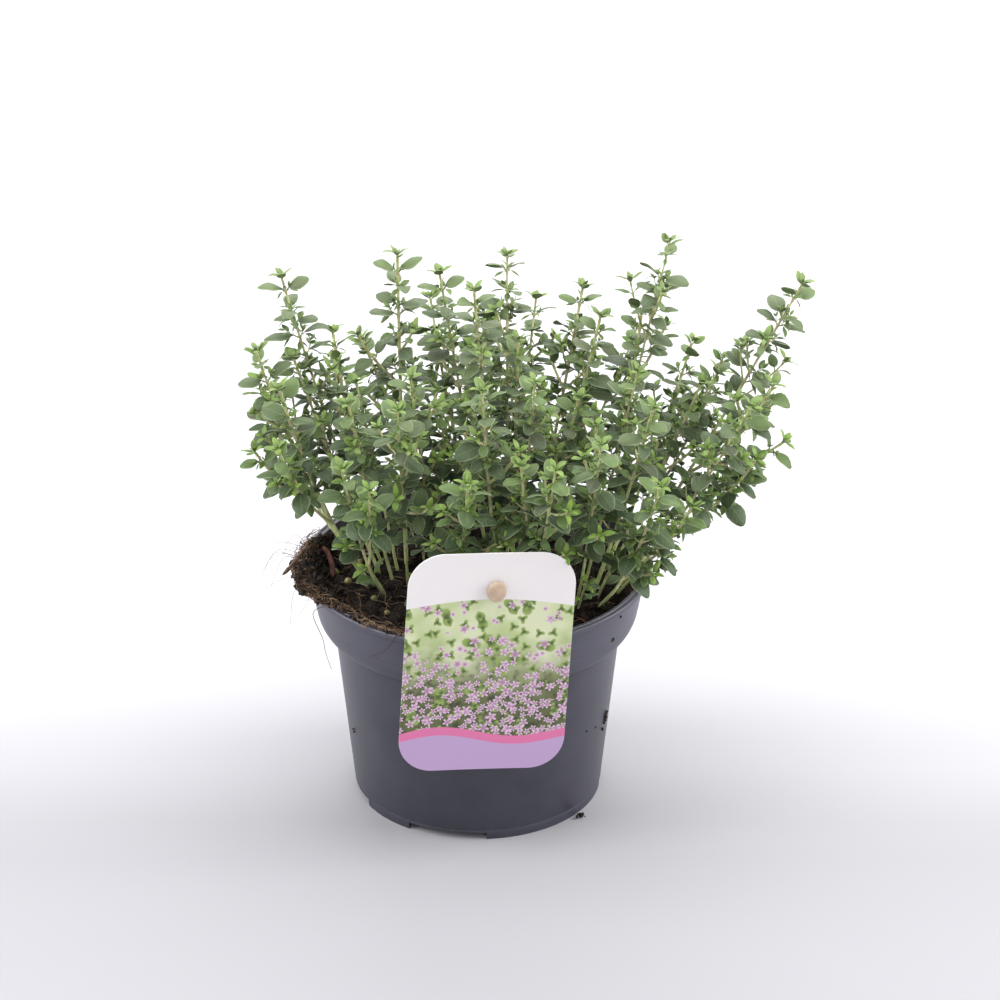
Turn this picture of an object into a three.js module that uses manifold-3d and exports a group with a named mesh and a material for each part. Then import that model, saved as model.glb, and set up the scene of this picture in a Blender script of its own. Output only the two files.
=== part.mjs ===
// Potted lemon thyme: nursery pot, soil, leafy stems, a hang label on its pin and small bits.
// Millimetres, +Z up. The origin is the middle of the pot's base, and the label faces -Y.
import * as THREE from 'three';
import { mergeVertices } from 'three/addons/utils/BufferGeometryUtils.js';
import Module from 'manifold-3d';

const wasm = await Module();
wasm.setup();

// Pot
const rimRadius = 65;
const potHeight = 92.6;
const footRadius = 46.4;
const wall = 1.2;
const shoulderRadius = 53.6;
const shoulderHeight = 68;
const bandRadius = 60.3;
const bandHeight = 78;
const neckRadius = 62.6;
const lipDepth = 2;
const lipWidth = 3.2;
const facets = 40;
const discRadius = 38;
const channelHeight = 3;
const notchAngles = [-170.5, -104.5, 9.5, 75.5];
const notchHeight = 2.8;
const notchWidth = 30;

// Gap between pieces that touch, and the smallest detail of a mesh
const fit = 0.35;
const sliverSize = 0.02;
const soilDetail = 0.05;

// Soil: mean level, how much higher its left side is, how high its clods stand, and where it
// has spilled over the rim, in degrees
const soilLevel = 86.6;
const soilSlope = -0.02;
const clodHeight = 0.8;
const spill = { start: 160, end: 215, reach: 70, steps: 12 };

// Stems
const stemFoot = 75;
const holeTop = 97;
const stemBase = 0.88;
const stemTop = 0.5;
const sideBase = 0.66;
const rootSpread = 0.13;
const rootGap = 4.6;
const bareHeight = { left: 34, inner: 12, middle: 24, right: 26, back: 20 };
const stemSteps = 10;
const sideSteps = 8;
const sideStart = 0.42;
const nodeHeight = 1.3;
const ringSpacing = 34;
const stemGap = 2.8;
const leafGap = 2.4;

// Leaf pairs, from the tip down: distance from the tip, leaf length, angle to the stem
const pairs = [
  [1.5, 5.8, 40], [6.5, 9.2, 60], [14, 10.6, 68], [24.5, 11.4, 75], [37.5, 11.4, 79], [52, 10.8, 82],
];
const sidePairs = 4;
const leafWidth = 0.61;
const leafThick = 0.085;

// Label and its pin
const label = { width: 61, height: 88.5, corner: 13, thick: 0.6, middle: 86.3 };
const labelTurn = 9.5;
const labelRoll = 3.5;
const labelShift = -7.4;
const pinHole = { across: 1.7, up: 29.6, radius: 1.95 };
const pinRadius = 1.6;
const pinInset = 12;
const pinFoot = 76;

// Clumps that the stems grow from, in plan
const clumps = {
  left: [-27, 3], inner: [-11, 5], middle: [12, -6], right: [36, -4], back: [6, 31],
};

// Leafy stems: clump, tip, outward bow, and the tip of a side shoot where there is one
const stems = [
  ['left', [-71, 10, 204], 0.04, [-53, 30, 162]],
  ['left', [-80, -5, 181], 0.1, [-81, -14, 145]],
  ['left', [-29, 18, 209], 0, [-15, 30, 148]],
  ['left', [-71, -24, 175], 0.12, [-71, -42, 160]],
  ['left', [-48, -52, 157], 0.14, [-38, -63, 154]],
  ['left', [-28, -48, 178], 0.05],
  ['inner', [-24, -19, 177], 0],
  ['left', [-44, 0, 166], 0],
  ['left', [-46, -30, 172], 0.04],
  ['left', [-55, 66, 156], 0.12],
  ['left', [-82, 36, 150], 0.15],
  ['left', [-67, 3, 175], 0.02],
  ['middle', [11, 22, 207], 0],
  ['middle', [-1, -2, 204], 0, [-4, 12, 169]],
  ['middle', [15, -2, 184], 0],
  ['middle', [21, -27, 179], 0],
  ['middle', [2, -44, 184], 0.04],
  ['middle', [28, -67, 164], 0.12, [16, -50, 157]],
  ['inner', [-3, -64, 157], 0.1],
  ['middle', [39, 34, 189], 0.02, [36, 20, 148]],
  ['middle', [45, 8, 189], 0.02],
  ['right', [70, 12, 217], 0, [60, 9, 190]],
  ['right', [118, 6, 203], 0.02, [107, -22, 176]],
  ['right', [80, 38, 165], 0.08],
  ['right', [98, -40, 176], 0.06],
  ['right', [112, -10, 147], -0.1, [101, -26, 148]],
  ['right', [82, 2, 165], 0.03, [90, 12, 170]],
  ['right', [58, -18, 179], 0],
  ['right', [63, -42, 176], 0.03],
  ['right', [44, -61, 171], 0.08, [43, -30, 163]],
  ['right', [65, -66, 157], 0.12, [77, -50, 141]],
  ['back', [-14, 42, 191], 0],
  ['back', [-43, 50, 160], 0.08],
  ['back', [-18, 71, 168], 0.08],
  ['back', [22, 66, 170], 0.06],
  ['back', [4, 88, 150], 0.14],
  ['back', [60, 66, 157], 0.1],
  ['back', [91, 52, 146], 0.15],
  ['inner', [-13, -8, 161], 0],
  ['middle', [37, -14, 167], 0],
];

const rad = THREE.MathUtils.degToRad;
const vec = (x, y, z) => new THREE.Vector3(x, y, z);

// Seeded random numbers from 0 to 1
function randomFrom(seed) {
  let state = seed;
  return () => {
    state = (state * 48271) % 2147483647;
    return state / 2147483647;
  };
}

// A closed geometry as a solid that can be joined and cut
function solidOf(geometry) {
  const plain = geometry.clone();
  plain.deleteAttribute('normal');
  plain.deleteAttribute('uv');
  const merged = mergeVertices(plain, 1e-4);
  const index = merged.index.array;
  const kept = [];
  for (let i = 0; i < index.length; i += 3) {
    const [a, b, c] = [index[i], index[i + 1], index[i + 2]];
    if (a !== b && b !== c && c !== a) kept.push(a, b, c);
  }
  return new wasm.Manifold(new wasm.Mesh({
    numProp: 3,
    vertProperties: new Float32Array(merged.attributes.position.array),
    triVerts: new Uint32Array(kept),
  }));
}

// The solid's mesh, without the slivers that joining and cutting leave
function geometryOf(solid, detail = sliverSize) {
  const mesh = solid.simplify(detail).getMesh();
  const geometry = new THREE.BufferGeometry();
  geometry.setAttribute('position', new THREE.BufferAttribute(mesh.vertProperties, 3));
  geometry.setIndex(new THREE.BufferAttribute(mesh.triVerts, 1));
  geometry.computeVertexNormals();
  return geometry;
}

// A closed skin over rings of equal point count, each end closed by a fan
function loft(rings) {
  const count = rings[0].length;
  const points = rings.flat();
  const middle = (ring) => ring.reduce((sum, p) => sum.add(p), vec(0, 0, 0)).divideScalar(count);
  const faces = [];
  for (let r = 0; r + 1 < rings.length; r += 1) {
    for (let i = 0; i < count; i += 1) {
      const a = r * count + i;
      const b = r * count + (i + 1) % count;
      faces.push(a, b, b + count, a, b + count, a + count);
    }
  }
  const last = (rings.length - 1) * count;
  const start = points.push(middle(rings[0])) - 1;
  const end = points.push(middle(rings[rings.length - 1])) - 1;
  for (let i = 0; i < count; i += 1) {
    const next = (i + 1) % count;
    faces.push(start, next, i, end, last + i, last + next);
  }
  const geometry = new THREE.BufferGeometry().setFromPoints(points);
  geometry.setIndex(faces);
  return geometry;
}

// Lathe about Z from a profile of radius and height
function turned(profile) {
  const points = profile.map(([radius, height]) => new THREE.Vector2(radius, height));
  return new THREE.LatheGeometry(points, facets).rotateX(Math.PI / 2);
}

// The pot's inner face, from its floor to its lip
const innerFace = [
  [footRadius - wall, channelHeight + wall],
  [shoulderRadius - wall, shoulderHeight + wall],
  [57, 71.3],
  [58.7, 74.6],
  [bandRadius - wall, bandHeight],
  [rimRadius - lipWidth, potHeight],
];

function potGeometry() {
  const outerFace = [
    [0, 0],
    [discRadius, 0],
    [discRadius + 0.8, channelHeight],
    [footRadius - 2.8, channelHeight],
    [footRadius - 2, 0],
    [footRadius, 0],
    [shoulderRadius, shoulderHeight],
    [55.6, 68.4],
    [58, 70],
    [59.8, 74],
    [bandRadius, bandHeight],
    [neckRadius, potHeight - lipDepth],
    [rimRadius, potHeight - lipDepth],
    [rimRadius, potHeight],
  ];
  const innerFloor = [
    [discRadius - 0.8, channelHeight + wall],
    [discRadius - 1.6, wall],
    [0, wall],
  ];
  let pot = solidOf(turned([...outerFace, ...innerFace.slice().reverse(), ...innerFloor]));
  for (const angle of notchAngles) {
    const cut = new THREE.BoxGeometry(10, notchWidth, 2 * notchHeight);
    cut.translate(footRadius - 1.4, 0, 0).rotateZ(rad(angle));
    pot = pot.subtract(solidOf(cut));
  }
  return geometryOf(pot);
}

// Height of the soil's surface, with its clods
function soilTop(x, y) {
  const clods = Math.sin(0.31 * x + 1.3) * Math.cos(0.27 * y - 0.4) + Math.sin(0.53 * y + 0.41 * x);
  return soilLevel + soilSlope * x + clodHeight * clods;
}

// Soil that has spilled over the left of the rim: one cross-section at an angle
function spillSection(angle, amount, rise) {
  const reach = 59.8 + (spill.reach - 59.8) * amount;
  const droop = reach > 67 ? 1.4 : 0;
  const over = potHeight + fit;
  const crest = over + 0.6 + rise * amount;
  const section = [
    [56.5, 84], [59.4, 86], [Math.min(reach, 60.8), over], [Math.max(reach - 1.6, 59), over],
    [reach, over - droop], [reach, over + 0.8], [Math.min(reach - 1, 65), crest],
    [Math.min(reach - 2, 61), crest - 0.6], [57.8, 89],
  ];
  return section.reverse().map(([r, z]) => vec(r * Math.cos(angle), r * Math.sin(angle), z));
}

function spillGeometry() {
  const random = randomFrom(41);
  const rings = [];
  for (let i = 0; i <= spill.steps; i += 1) {
    const u = i / spill.steps;
    const amount = Math.sqrt(Math.sin(Math.PI * u ** 1.5)) * (0.76 + 0.24 * random());
    const rise = 0.8 + 1.8 * random();
    rings.push(spillSection(rad(spill.start + (spill.end - spill.start) * u), amount, rise));
  }
  return loft(rings);
}

function soilGeometry(prints) {
  const topRadii = [59.5, 48, 34, 19, 0];
  const side = innerFace.slice(0, -1).map(([r, z]) => [r - fit, z + fit]);
  const geometry = turned([
    [0, channelHeight + wall + fit], ...side, ...topRadii.map((r) => [r, soilLevel]),
  ]);
  const place = geometry.attributes.position;
  for (let i = 0; i < place.count; i += 1) {
    if (place.getZ(i) > soilLevel - 1) place.setZ(i, soilTop(place.getX(i), place.getY(i)));
  }
  let soil = solidOf(geometry).add(solidOf(spillGeometry()));
  for (const print of prints) soil = soil.subtract(solidOf(print));
  const largest = soil.decompose().sort((a, b) => b.volume() - a.volume())[0];
  return geometryOf(largest, soilDetail);
}

// Points already taken by stems and leaves, in a grid of cells
class Taken {
  constructor() {
    this.cell = 3;
    this.cells = new Map();
  }

  key(i, j, k) {
    return `${i},${j},${k}`;
  }

  add(points, owner) {
    for (const p of points) {
      const key = this.key(...[p.x, p.y, p.z].map((v) => Math.floor(v / this.cell)));
      if (!this.cells.has(key)) this.cells.set(key, []);
      this.cells.get(key).push([p, owner]);
    }
  }

  // Whether all points keep the gap to what belongs to other owners
  clear(points, owners, gap) {
    return points.every((p) => {
      const [i, j, k] = [p.x, p.y, p.z].map((v) => Math.floor(v / this.cell));
      for (let a = i - 1; a <= i + 1; a += 1) {
        for (let b = j - 1; b <= j + 1; b += 1) {
          for (let c = k - 1; c <= k + 1; c += 1) {
            for (const [q, owner] of this.cells.get(this.key(a, b, c)) ?? []) {
              if (!owners.includes(owner) && p.distanceTo(q) < gap) return false;
            }
          }
        }
      }
      return true;
    });
  }
}

// Where each stem leaves the soil: near its clump, towards its tip, pushed apart evenly
function rootPlaces() {
  const roots = stems.map(([clump, tip]) => {
    const [x, y] = clumps[clump];
    return [x + rootSpread * (tip[0] - x), y + rootSpread * (tip[1] - y)];
  });
  for (let round = 0; round < 80; round += 1) {
    for (let i = 0; i < roots.length; i += 1) {
      for (let j = i + 1; j < roots.length; j += 1) {
        const dx = roots[j][0] - roots[i][0];
        const dy = roots[j][1] - roots[i][1];
        const gap = Math.hypot(dx, dy);
        if (gap < rootGap) {
          const push = (rootGap - gap) / 2 / gap;
          roots[i] = [roots[i][0] - dx * push, roots[i][1] - dy * push];
          roots[j] = [roots[j][0] + dx * push, roots[j][1] + dy * push];
        }
      }
    }
  }
  return roots;
}

function bezier(a, b, c, t) {
  return a.clone().multiplyScalar((1 - t) * (1 - t))
    .addScaledVector(b, 2 * t * (1 - t)).addScaledVector(c, t * t);
}

// Points along a straight-sided line, about one every step millimetres
function along(line, step) {
  const points = [];
  for (let i = 0; i + 1 < line.length; i += 1) {
    const count = Math.ceil(line[i].distanceTo(line[i + 1]) / step);
    for (let k = 0; k < count; k += 1) points.push(line[i].clone().lerp(line[i + 1], k / count));
  }
  points.push(line[line.length - 1].clone());
  return points;
}

function lengthOf(line) {
  let sum = 0;
  for (let i = 0; i + 1 < line.length; i += 1) sum += line[i].distanceTo(line[i + 1]);
  return sum;
}

// Point and direction at a distance down from the tip
function fromTip(line, distance) {
  let left = distance;
  for (let i = line.length - 1; i > 0; i -= 1) {
    const span = line[i].distanceTo(line[i - 1]);
    if (left <= span || i === 1) {
      return {
        point: line[i].clone().lerp(line[i - 1], left / span),
        heading: line[i].clone().sub(line[i - 1]).normalize(),
      };
    }
    left -= span;
  }
  return null;
}

// A bowed line from foot to tip, straight until it is clear of the soil; the bow leads it
// outwards before it rises
function stemLine(foot, tip, bow, sway, clearHeight, steps) {
  const bend = vec(
    foot.x + (tip.x - foot.x) * (0.5 + bow) + sway.x,
    foot.y + (tip.y - foot.y) * (0.5 + bow) + sway.y,
    foot.z + (tip.z - foot.z) * (0.5 - bow),
  );
  let first = 1 / steps;
  while (bezier(foot, bend, tip, first).z < clearHeight) first += 0.01;
  const line = [foot];
  for (let i = 0; i < steps; i += 1) {
    line.push(bezier(foot, bend, tip, first + (1 - first) * (i / (steps - 1))));
  }
  return line;
}

// All stems and side shoots, swayed where they would come too near another
function growStems(taken, random) {
  const grown = [];
  const settle = (owner, friends, make) => {
    let line = null;
    for (let attempt = 0; attempt < 40; attempt += 1) {
      const reach = 1.5 + 0.6 * attempt;
      const sway = vec((random() - 0.5) * reach, (random() - 0.5) * reach, 0);
      line = make(sway);
      if (taken.clear(along(line, 1.5), friends, stemGap)) break;
    }
    taken.add(along(line, 1.5), owner);
    return line;
  };
  const roots = rootPlaces();
  stems.forEach(([, tip, bow], i) => {
    const foot = vec(roots[i][0], roots[i][1], stemFoot);
    const end = vec(...tip);
    const line = settle(i, [i], (sway) => stemLine(foot, end, bow, sway, holeTop, stemSteps));
    grown.push({ shoot: i, owner: i, line, base: stemBase, pairCount: pairs.length, nodes: [] });
  });
  stems.forEach(([, , , sideTip], i) => {
    if (!sideTip) return;
    const parent = grown[i].line;
    const foot = fromTip(parent, lengthOf(parent) * (1 - sideStart)).point;
    const owner = 100 + i;
    const end = vec(...sideTip);
    const line = settle(owner, [i], (sway) => stemLine(foot, end, 0.12, sway, 0, sideSteps));
    grown.push({ shoot: i, owner, line, base: sideBase, pairCount: sidePairs, nodes: [] });
  });
  return grown;
}

// Two directions square to a stem's heading
function sidesOf(heading) {
  const right = heading.clone().cross(vec(1, 0, 0)).normalize();
  return [right, heading.clone().cross(right)];
}

// A leaf's own frame: it leaves the stem sideways at an angle, and its face turns to the light
function leafFrame(node, turn, open, length) {
  const up = vec(0, 0, 1);
  const [right, fore] = sidesOf(node.heading);
  const out = right.multiplyScalar(Math.cos(turn)).addScaledVector(fore, Math.sin(turn));
  const axis = node.heading.clone().multiplyScalar(Math.cos(open))
    .addScaledVector(out, Math.sin(open));
  const face = node.heading.clone().multiplyScalar(0.6).addScaledVector(up, 0.4);
  face.addScaledVector(axis, -face.dot(axis)).normalize();
  const side = face.clone().cross(axis);
  const base = node.point.clone().addScaledVector(out, 0.7 * node.radius);
  return { base, axis, face, side, length, width: leafWidth * length };
}

// A point of the leaf: how far along it, how far across and how high above its underside
function leafPoint(leaf, t, across, high) {
  const arch = (0.35 * t - 0.5 * t * t) * leaf.length;
  return leaf.base.clone().addScaledVector(leaf.axis, t * leaf.length)
    .addScaledVector(leaf.side, across * leaf.width)
    .addScaledVector(leaf.face, arch + high);
}

function leafSamples(leaf) {
  const rows = [[0.16, [0]], [0.36, [-0.5, 0, 0.5]], [0.55, [-0.48, 0, 0.48]],
    [0.76, [-0.4, 0, 0.4]], [1, [0]]];
  return rows.flatMap(([t, marks]) => marks.map((across) => leafPoint(leaf, t, across, 0.3)));
}

// Leaves in crossed pairs; one that would come too near another stem turns, closes or shrinks
function growLeaves(grown, taken, random) {
  const tries = [
    [0, 0, 1], [16, 0, 1], [-16, 0, 1], [0, -14, 1], [22, -8, 0.85], [-22, -8, 0.85], [0, -20, 0.72],
  ];
  for (let level = 0; level < pairs.length; level += 1) {
    for (const stem of grown) {
      if (level === 0) stem.start = 360 * random();
      const [distance, length, open] = pairs[level];
      const bare = stem.owner < 100 ? bareHeight[stems[stem.shoot][0]] + soilLevel - stemFoot : 9;
      if (level >= stem.pairCount || distance > lengthOf(stem.line) - bare) continue;
      const place = distance * (0.92 + 0.16 * random());
      const node = { ...fromTip(stem.line, place), place, turn: stem.start + 20 * (random() - 0.5) };
      node.radius = stemRadius(stem, place);
      node.leaves = [0, 180].map((half) => {
        const turn = node.turn + 90 * (level % 2) + half;
        const opening = open + 14 * (random() - 0.5);
        const size = length * (0.86 + 0.28 * random());
        for (const [twist, lift, scale] of tries) {
          const leaf = leafFrame(node, rad(turn + twist), rad(opening + lift), size * scale);
          const samples = leafSamples(leaf);
          if (taken.clear(samples, [stem.owner], leafGap)) {
            taken.add(samples, stem.owner);
            return leaf;
          }
        }
        return null;
      });
      stem.nodes.push(node);
    }
  }
}

// The stem's radius at a distance from its tip
function stemRadius(stem, place) {
  return stemTop + (stem.base - stemTop) * (place / lengthOf(stem.line));
}

// A square ring of the stem round a point, a corner to each side of every leaf face
function squareRing({ point, heading }, radius, turn) {
  const [right, fore] = sidesOf(heading);
  return [-45, 45, 135, 225].map((corner) => point.clone()
    .addScaledVector(right, radius * Math.cos(rad(turn + corner)))
    .addScaledVector(fore, radius * Math.sin(rad(turn + corner))));
}

// The leaf's faces between its face of the stem and its tip: a hexagon with a ridge
function addLeaf(leaf, [a, b, c, d], points, faces) {
  const thick = Math.max(0.7, leafThick * leaf.length);
  const marks = [[0.38, -0.5, 0], [0.38, 0.5, 0], [0.45, 0, thick], [0.74, -0.4, 0], [0.74, 0.4, 0],
    [1, 0, 0]];
  const [l, r, m, p, q, t] = marks.map((mark) => points.push(leafPoint(leaf, ...mark)) - 1);
  faces.push(
    a, b, r, a, r, l, b, c, r, c, m, r, c, d, m, d, a, l, d, l, m,
    l, r, q, l, q, p, p, q, t, m, l, p, m, p, t, m, t, q, m, q, r,
  );
}

// One stem with its leaves, which spring from opposite faces at each node
function stemGeometry(stem) {
  const total = lengthOf(stem.line);
  const first = stem.line[0].distanceTo(stem.line[1]);
  const start = stem.start;
  const rings = [{ place: total, turn: start }, { place: total - first, turn: start }];
  const nodes = [...stem.nodes].reverse();
  const lowest = nodes.length ? nodes[0].place : 0;
  const bareSteps = Math.floor((total - first - lowest) / ringSpacing);
  for (let i = 1; i <= bareSteps; i += 1) {
    const place = total - first - (i * (total - first - lowest)) / (bareSteps + 1);
    rings.push({ place, turn: start });
  }
  for (const node of nodes) {
    rings.push({ place: node.place + nodeHeight / 2, turn: node.turn, node });
    rings.push({ place: node.place - nodeHeight / 2, turn: node.turn });
  }
  rings.push({ place: 0, turn: start });

  const points = rings.flatMap(({ place, turn }) => (
    squareRing(fromTip(stem.line, place), stemRadius(stem, place), turn)));
  const faces = [0, 2, 1, 0, 3, 2];
  rings.slice(0, -1).forEach(({ node }, k) => {
    const odd = node ? stem.nodes.indexOf(node) % 2 : 0;
    for (let j = 0; j < 4; j += 1) {
      const [a, b] = [4 * k + j, 4 * k + (j + 1) % 4];
      const leaf = node && j % 2 === odd ? node.leaves[(j - odd) / 2] : null;
      if (leaf) addLeaf(leaf, [a, b, b + 4, a + 4], points, faces);
      else faces.push(a, b, b + 4, a, b + 4, a + 4);
    }
  });
  const top = 4 * (rings.length - 1);
  faces.push(top, top + 1, top + 2, top, top + 2, top + 3);
  const geometry = new THREE.BufferGeometry().setFromPoints(points);
  geometry.setIndex(faces);
  return geometry;
}

// The plain hole that a stem stands in, wider by the fit all round
function stemHole({ line, start }) {
  const heading = line[1].clone().sub(line[0]).normalize();
  const below = line[0].clone().addScaledVector(heading, -0.6);
  return loft([below, line[1]].map((point) => (
    squareRing({ point, heading }, stemBase + 1.5 * fit, start))));
}

const labelNormal = vec(Math.sin(rad(labelTurn)), -Math.cos(rad(labelTurn)), 0);
const labelAcross = vec(Math.cos(rad(labelTurn)), Math.sin(rad(labelTurn)), 0);
const labelFrame = new THREE.Matrix4()
  .makeBasis(labelAcross, vec(0, 0, 1), labelNormal)
  .multiply(new THREE.Matrix4().makeRotationZ(-rad(labelRoll)));
labelFrame.setPosition(labelNormal.clone().multiplyScalar(rimRadius + fit)
  .addScaledVector(labelAcross, labelShift).add(vec(0, 0, label.middle)));

function labelGeometry() {
  const { width, height, corner, thick } = label;
  const [x, y] = [width / 2, height / 2];
  const outline = new THREE.Shape();
  outline.moveTo(-x + corner, -y);
  outline.lineTo(x - corner, -y);
  outline.absarc(x - corner, -y + corner, corner, -Math.PI / 2, 0);
  outline.absarc(x - corner, y - corner, corner, 0, Math.PI / 2);
  outline.absarc(-x + corner, y - corner, corner, Math.PI / 2, Math.PI);
  outline.absarc(-x + corner, -y + corner, corner, Math.PI, 1.5 * Math.PI);
  const hole = new THREE.Path();
  hole.absarc(pinHole.across, pinHole.up, pinHole.radius, 0, 2 * Math.PI, true);
  outline.holes.push(hole);
  const plate = new THREE.ExtrudeGeometry(outline, { depth: thick, bevelEnabled: false, curveSegments: 5 });
  return geometryOf(solidOf(plate.applyMatrix4(labelFrame)));
}

// The pin stands in the soil, bends forward and holds the label under its round head
function pinLine() {
  const eye = vec(pinHole.across, pinHole.up, 0).applyMatrix4(labelFrame);
  const leg = eye.clone().addScaledVector(labelNormal, -pinInset);
  const bend = 5;
  const path = new THREE.CurvePath();
  const turnStart = vec(leg.x, leg.y, eye.z - bend);
  const turnEnd = vec(leg.x, leg.y, eye.z).addScaledVector(labelNormal, bend);
  path.add(new THREE.LineCurve3(vec(leg.x, leg.y, pinFoot), turnStart));
  path.add(new THREE.QuadraticBezierCurve3(turnStart, vec(leg.x, leg.y, eye.z), turnEnd));
  path.add(new THREE.LineCurve3(turnEnd, eye.clone().addScaledVector(labelNormal, 2.2)));
  return { path, eye, leg };
}

// Points over the label's upper part, which the leaves keep clear of
function labelPoints() {
  const points = [];
  for (let x = -label.width / 2; x <= label.width / 2; x += 3) {
    for (let y = 5; y <= label.height / 2; y += 3) points.push(vec(x, y, 0).applyMatrix4(labelFrame));
  }
  return points;
}

function pinGeometry() {
  const { path, eye } = pinLine();
  const section = new THREE.Shape();
  section.absarc(0, 0, pinRadius, 0, 2 * Math.PI);
  const rod = new THREE.ExtrudeGeometry(section, { steps: 16, extrudePath: path, curveSegments: 4 });
  const head = new THREE.SphereGeometry(1, 12, 6);
  head.scale(3.5, 1.3, 4.2).rotateZ(rad(labelTurn));
  const seat = eye.clone().addScaledVector(labelNormal, label.thick + fit + 1.3);
  head.translate(seat.x, seat.y, seat.z);
  return geometryOf(solidOf(rod).add(solidOf(head)));
}

function pinHoleInSoil() {
  const { leg } = pinLine();
  const hole = new THREE.CylinderGeometry(pinRadius + fit, pinRadius + fit, 40, 8);
  return hole.rotateX(Math.PI / 2).translate(leg.x, leg.y, pinFoot - 0.6 + 20);
}

// Small things that lie on the soil; each print in the soil is larger by the fit
const beadRadius = 1.7;
const beads = [[-48, -9.5], [-53, 1], [-38, -21]];

function beadGeometry([x, y], grow) {
  const bead = new THREE.OctahedronGeometry(beadRadius + grow, 1);
  return bead.translate(x, y, soilTop(x, y) + 0.9);
}

function slabGeometry(size, place, turn, pitch, grow) {
  const slab = new THREE.BoxGeometry(size[0] + grow, size[1] + grow, size[2] + grow);
  return slab.rotateY(rad(pitch)).rotateZ(rad(turn)).translate(...place);
}

const sliver = (grow) => slabGeometry([18, 2.4, 1.1], [-56, 2.8, 91], 104, -14, grow);
const twig = (grow) => slabGeometry([16.4, 1.3, 1.3], [-67.8, -1.5, 94], -123, 19, grow);

function mesh(name, geometry, color, roughness) {
  const material = new THREE.MeshStandardMaterial({ color, roughness, metalness: 0 });
  const piece = new THREE.Mesh(geometry, material);
  piece.name = name;
  return piece;
}

function build() {
  const taken = new Taken();
  taken.add([...along(pinLine().path.getPoints(20), 1.5), ...labelPoints()], -1);
  const grown = growStems(taken, randomFrom(2027));
  growLeaves(grown, taken, randomFrom(512));

  const group = new THREE.Group();
  const holes = grown.slice(0, stems.length).map(stemHole);
  const prints = [
    ...holes, pinHoleInSoil(), sliver(2 * fit), twig(2 * fit), ...beads.map((b) => beadGeometry(b, fit)),
  ];
  group.add(mesh('pot', potGeometry(), 0x4a4a56, 0.5));
  group.add(mesh('soil', soilGeometry(prints), 0x30271f, 0.95));
  stems.forEach((row, i) => {
    const parts = grown.filter((stem) => stem.shoot === i).map((stem) => solidOf(stemGeometry(stem)));
    const shoot = geometryOf(wasm.Manifold.union(parts));
    group.add(mesh(`shoot_${String(i + 1).padStart(2, '0')}`, shoot, 0x4f6f3e, 0.6));
  });
  group.add(mesh('label', labelGeometry(), 0xd6cbd6, 0.4));
  group.add(mesh('label_pin', pinGeometry(), 0xc6b09b, 0.5));
  group.add(mesh('bark_sliver', sliver(0), 0x6b3a28, 0.8));
  group.add(mesh('twig', twig(0), 0x2c2019, 0.8));
  beads.forEach((bead, i) => {
    group.add(mesh(`bead_${i + 1}`, beadGeometry(bead, 0), 0xc9c58a, 0.4));
  });
  return group;
}

const group = build();

export default group;
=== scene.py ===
# Potted lemon thyme: a nursery pot of leafy stems with a hang label, dressed for the camera.
# Everything is in millimetres until finishPiece turns it into metres. The label faces -Y.
import math
import random

import bmesh
import bpy
import numpy as np
from mathutils import Matrix, Vector, noise


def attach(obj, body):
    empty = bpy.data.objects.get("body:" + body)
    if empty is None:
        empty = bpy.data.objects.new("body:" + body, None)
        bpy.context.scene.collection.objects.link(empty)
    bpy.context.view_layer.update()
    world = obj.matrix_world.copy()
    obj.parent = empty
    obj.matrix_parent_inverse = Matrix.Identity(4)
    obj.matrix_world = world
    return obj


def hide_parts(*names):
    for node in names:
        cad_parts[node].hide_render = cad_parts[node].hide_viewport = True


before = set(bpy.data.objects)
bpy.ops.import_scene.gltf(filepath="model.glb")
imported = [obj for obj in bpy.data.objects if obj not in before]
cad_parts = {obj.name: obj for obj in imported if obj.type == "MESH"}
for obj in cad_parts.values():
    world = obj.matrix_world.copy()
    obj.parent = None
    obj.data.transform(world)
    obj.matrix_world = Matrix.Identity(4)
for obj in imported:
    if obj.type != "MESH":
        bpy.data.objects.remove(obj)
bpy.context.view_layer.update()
scene = bpy.context.scene
mm = 0.001
print("frame:", len(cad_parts), "nodes")


# Camera, lights and floor

view = {"lens": 167.4, "sensor": 36, "tilt": 27.05, "distance": 1720, "target": (8.4, 0, 118.2)}


def addCamera():
    lens = bpy.data.cameras.new("camera")
    lens.lens = view["lens"]
    lens.sensor_width = view["sensor"]
    lens.clip_start = 0.05
    holder = bpy.data.objects.new("camera", lens)
    tilt = math.radians(view["tilt"])
    x, y, z = view["target"]
    away = view["distance"]
    holder.location = (x * mm, (y - away * math.cos(tilt)) * mm, (z + away * math.sin(tilt)) * mm)
    holder.rotation_euler = (math.pi / 2 - tilt, 0, 0)
    scene.collection.objects.link(holder)
    scene.camera = holder


# Each softbox: place, width, power, colour
light = {
    "world": (0.93, 0.93, 1.0),
    "worldStrength": 0.58,
    "boxes": {
        "leftBox": ((-950, -150, 620), 900, 14, (1.0, 1.0, 1.0)),
        "rightBox": ((1000, -50, 560), 900, 16, (1.0, 0.99, 0.98)),
        "backBox": ((60, 900, 950), 1100, 11, (1.0, 1.0, 1.0)),
        "topBox": ((0, -100, 1300), 900, 8, (1.0, 1.0, 1.0)),
        "frontBox": ((150, -1200, 620), 900, 3, (1.0, 1.0, 1.0)),
    },
    "aim": (0, 0, 110),
}


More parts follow.
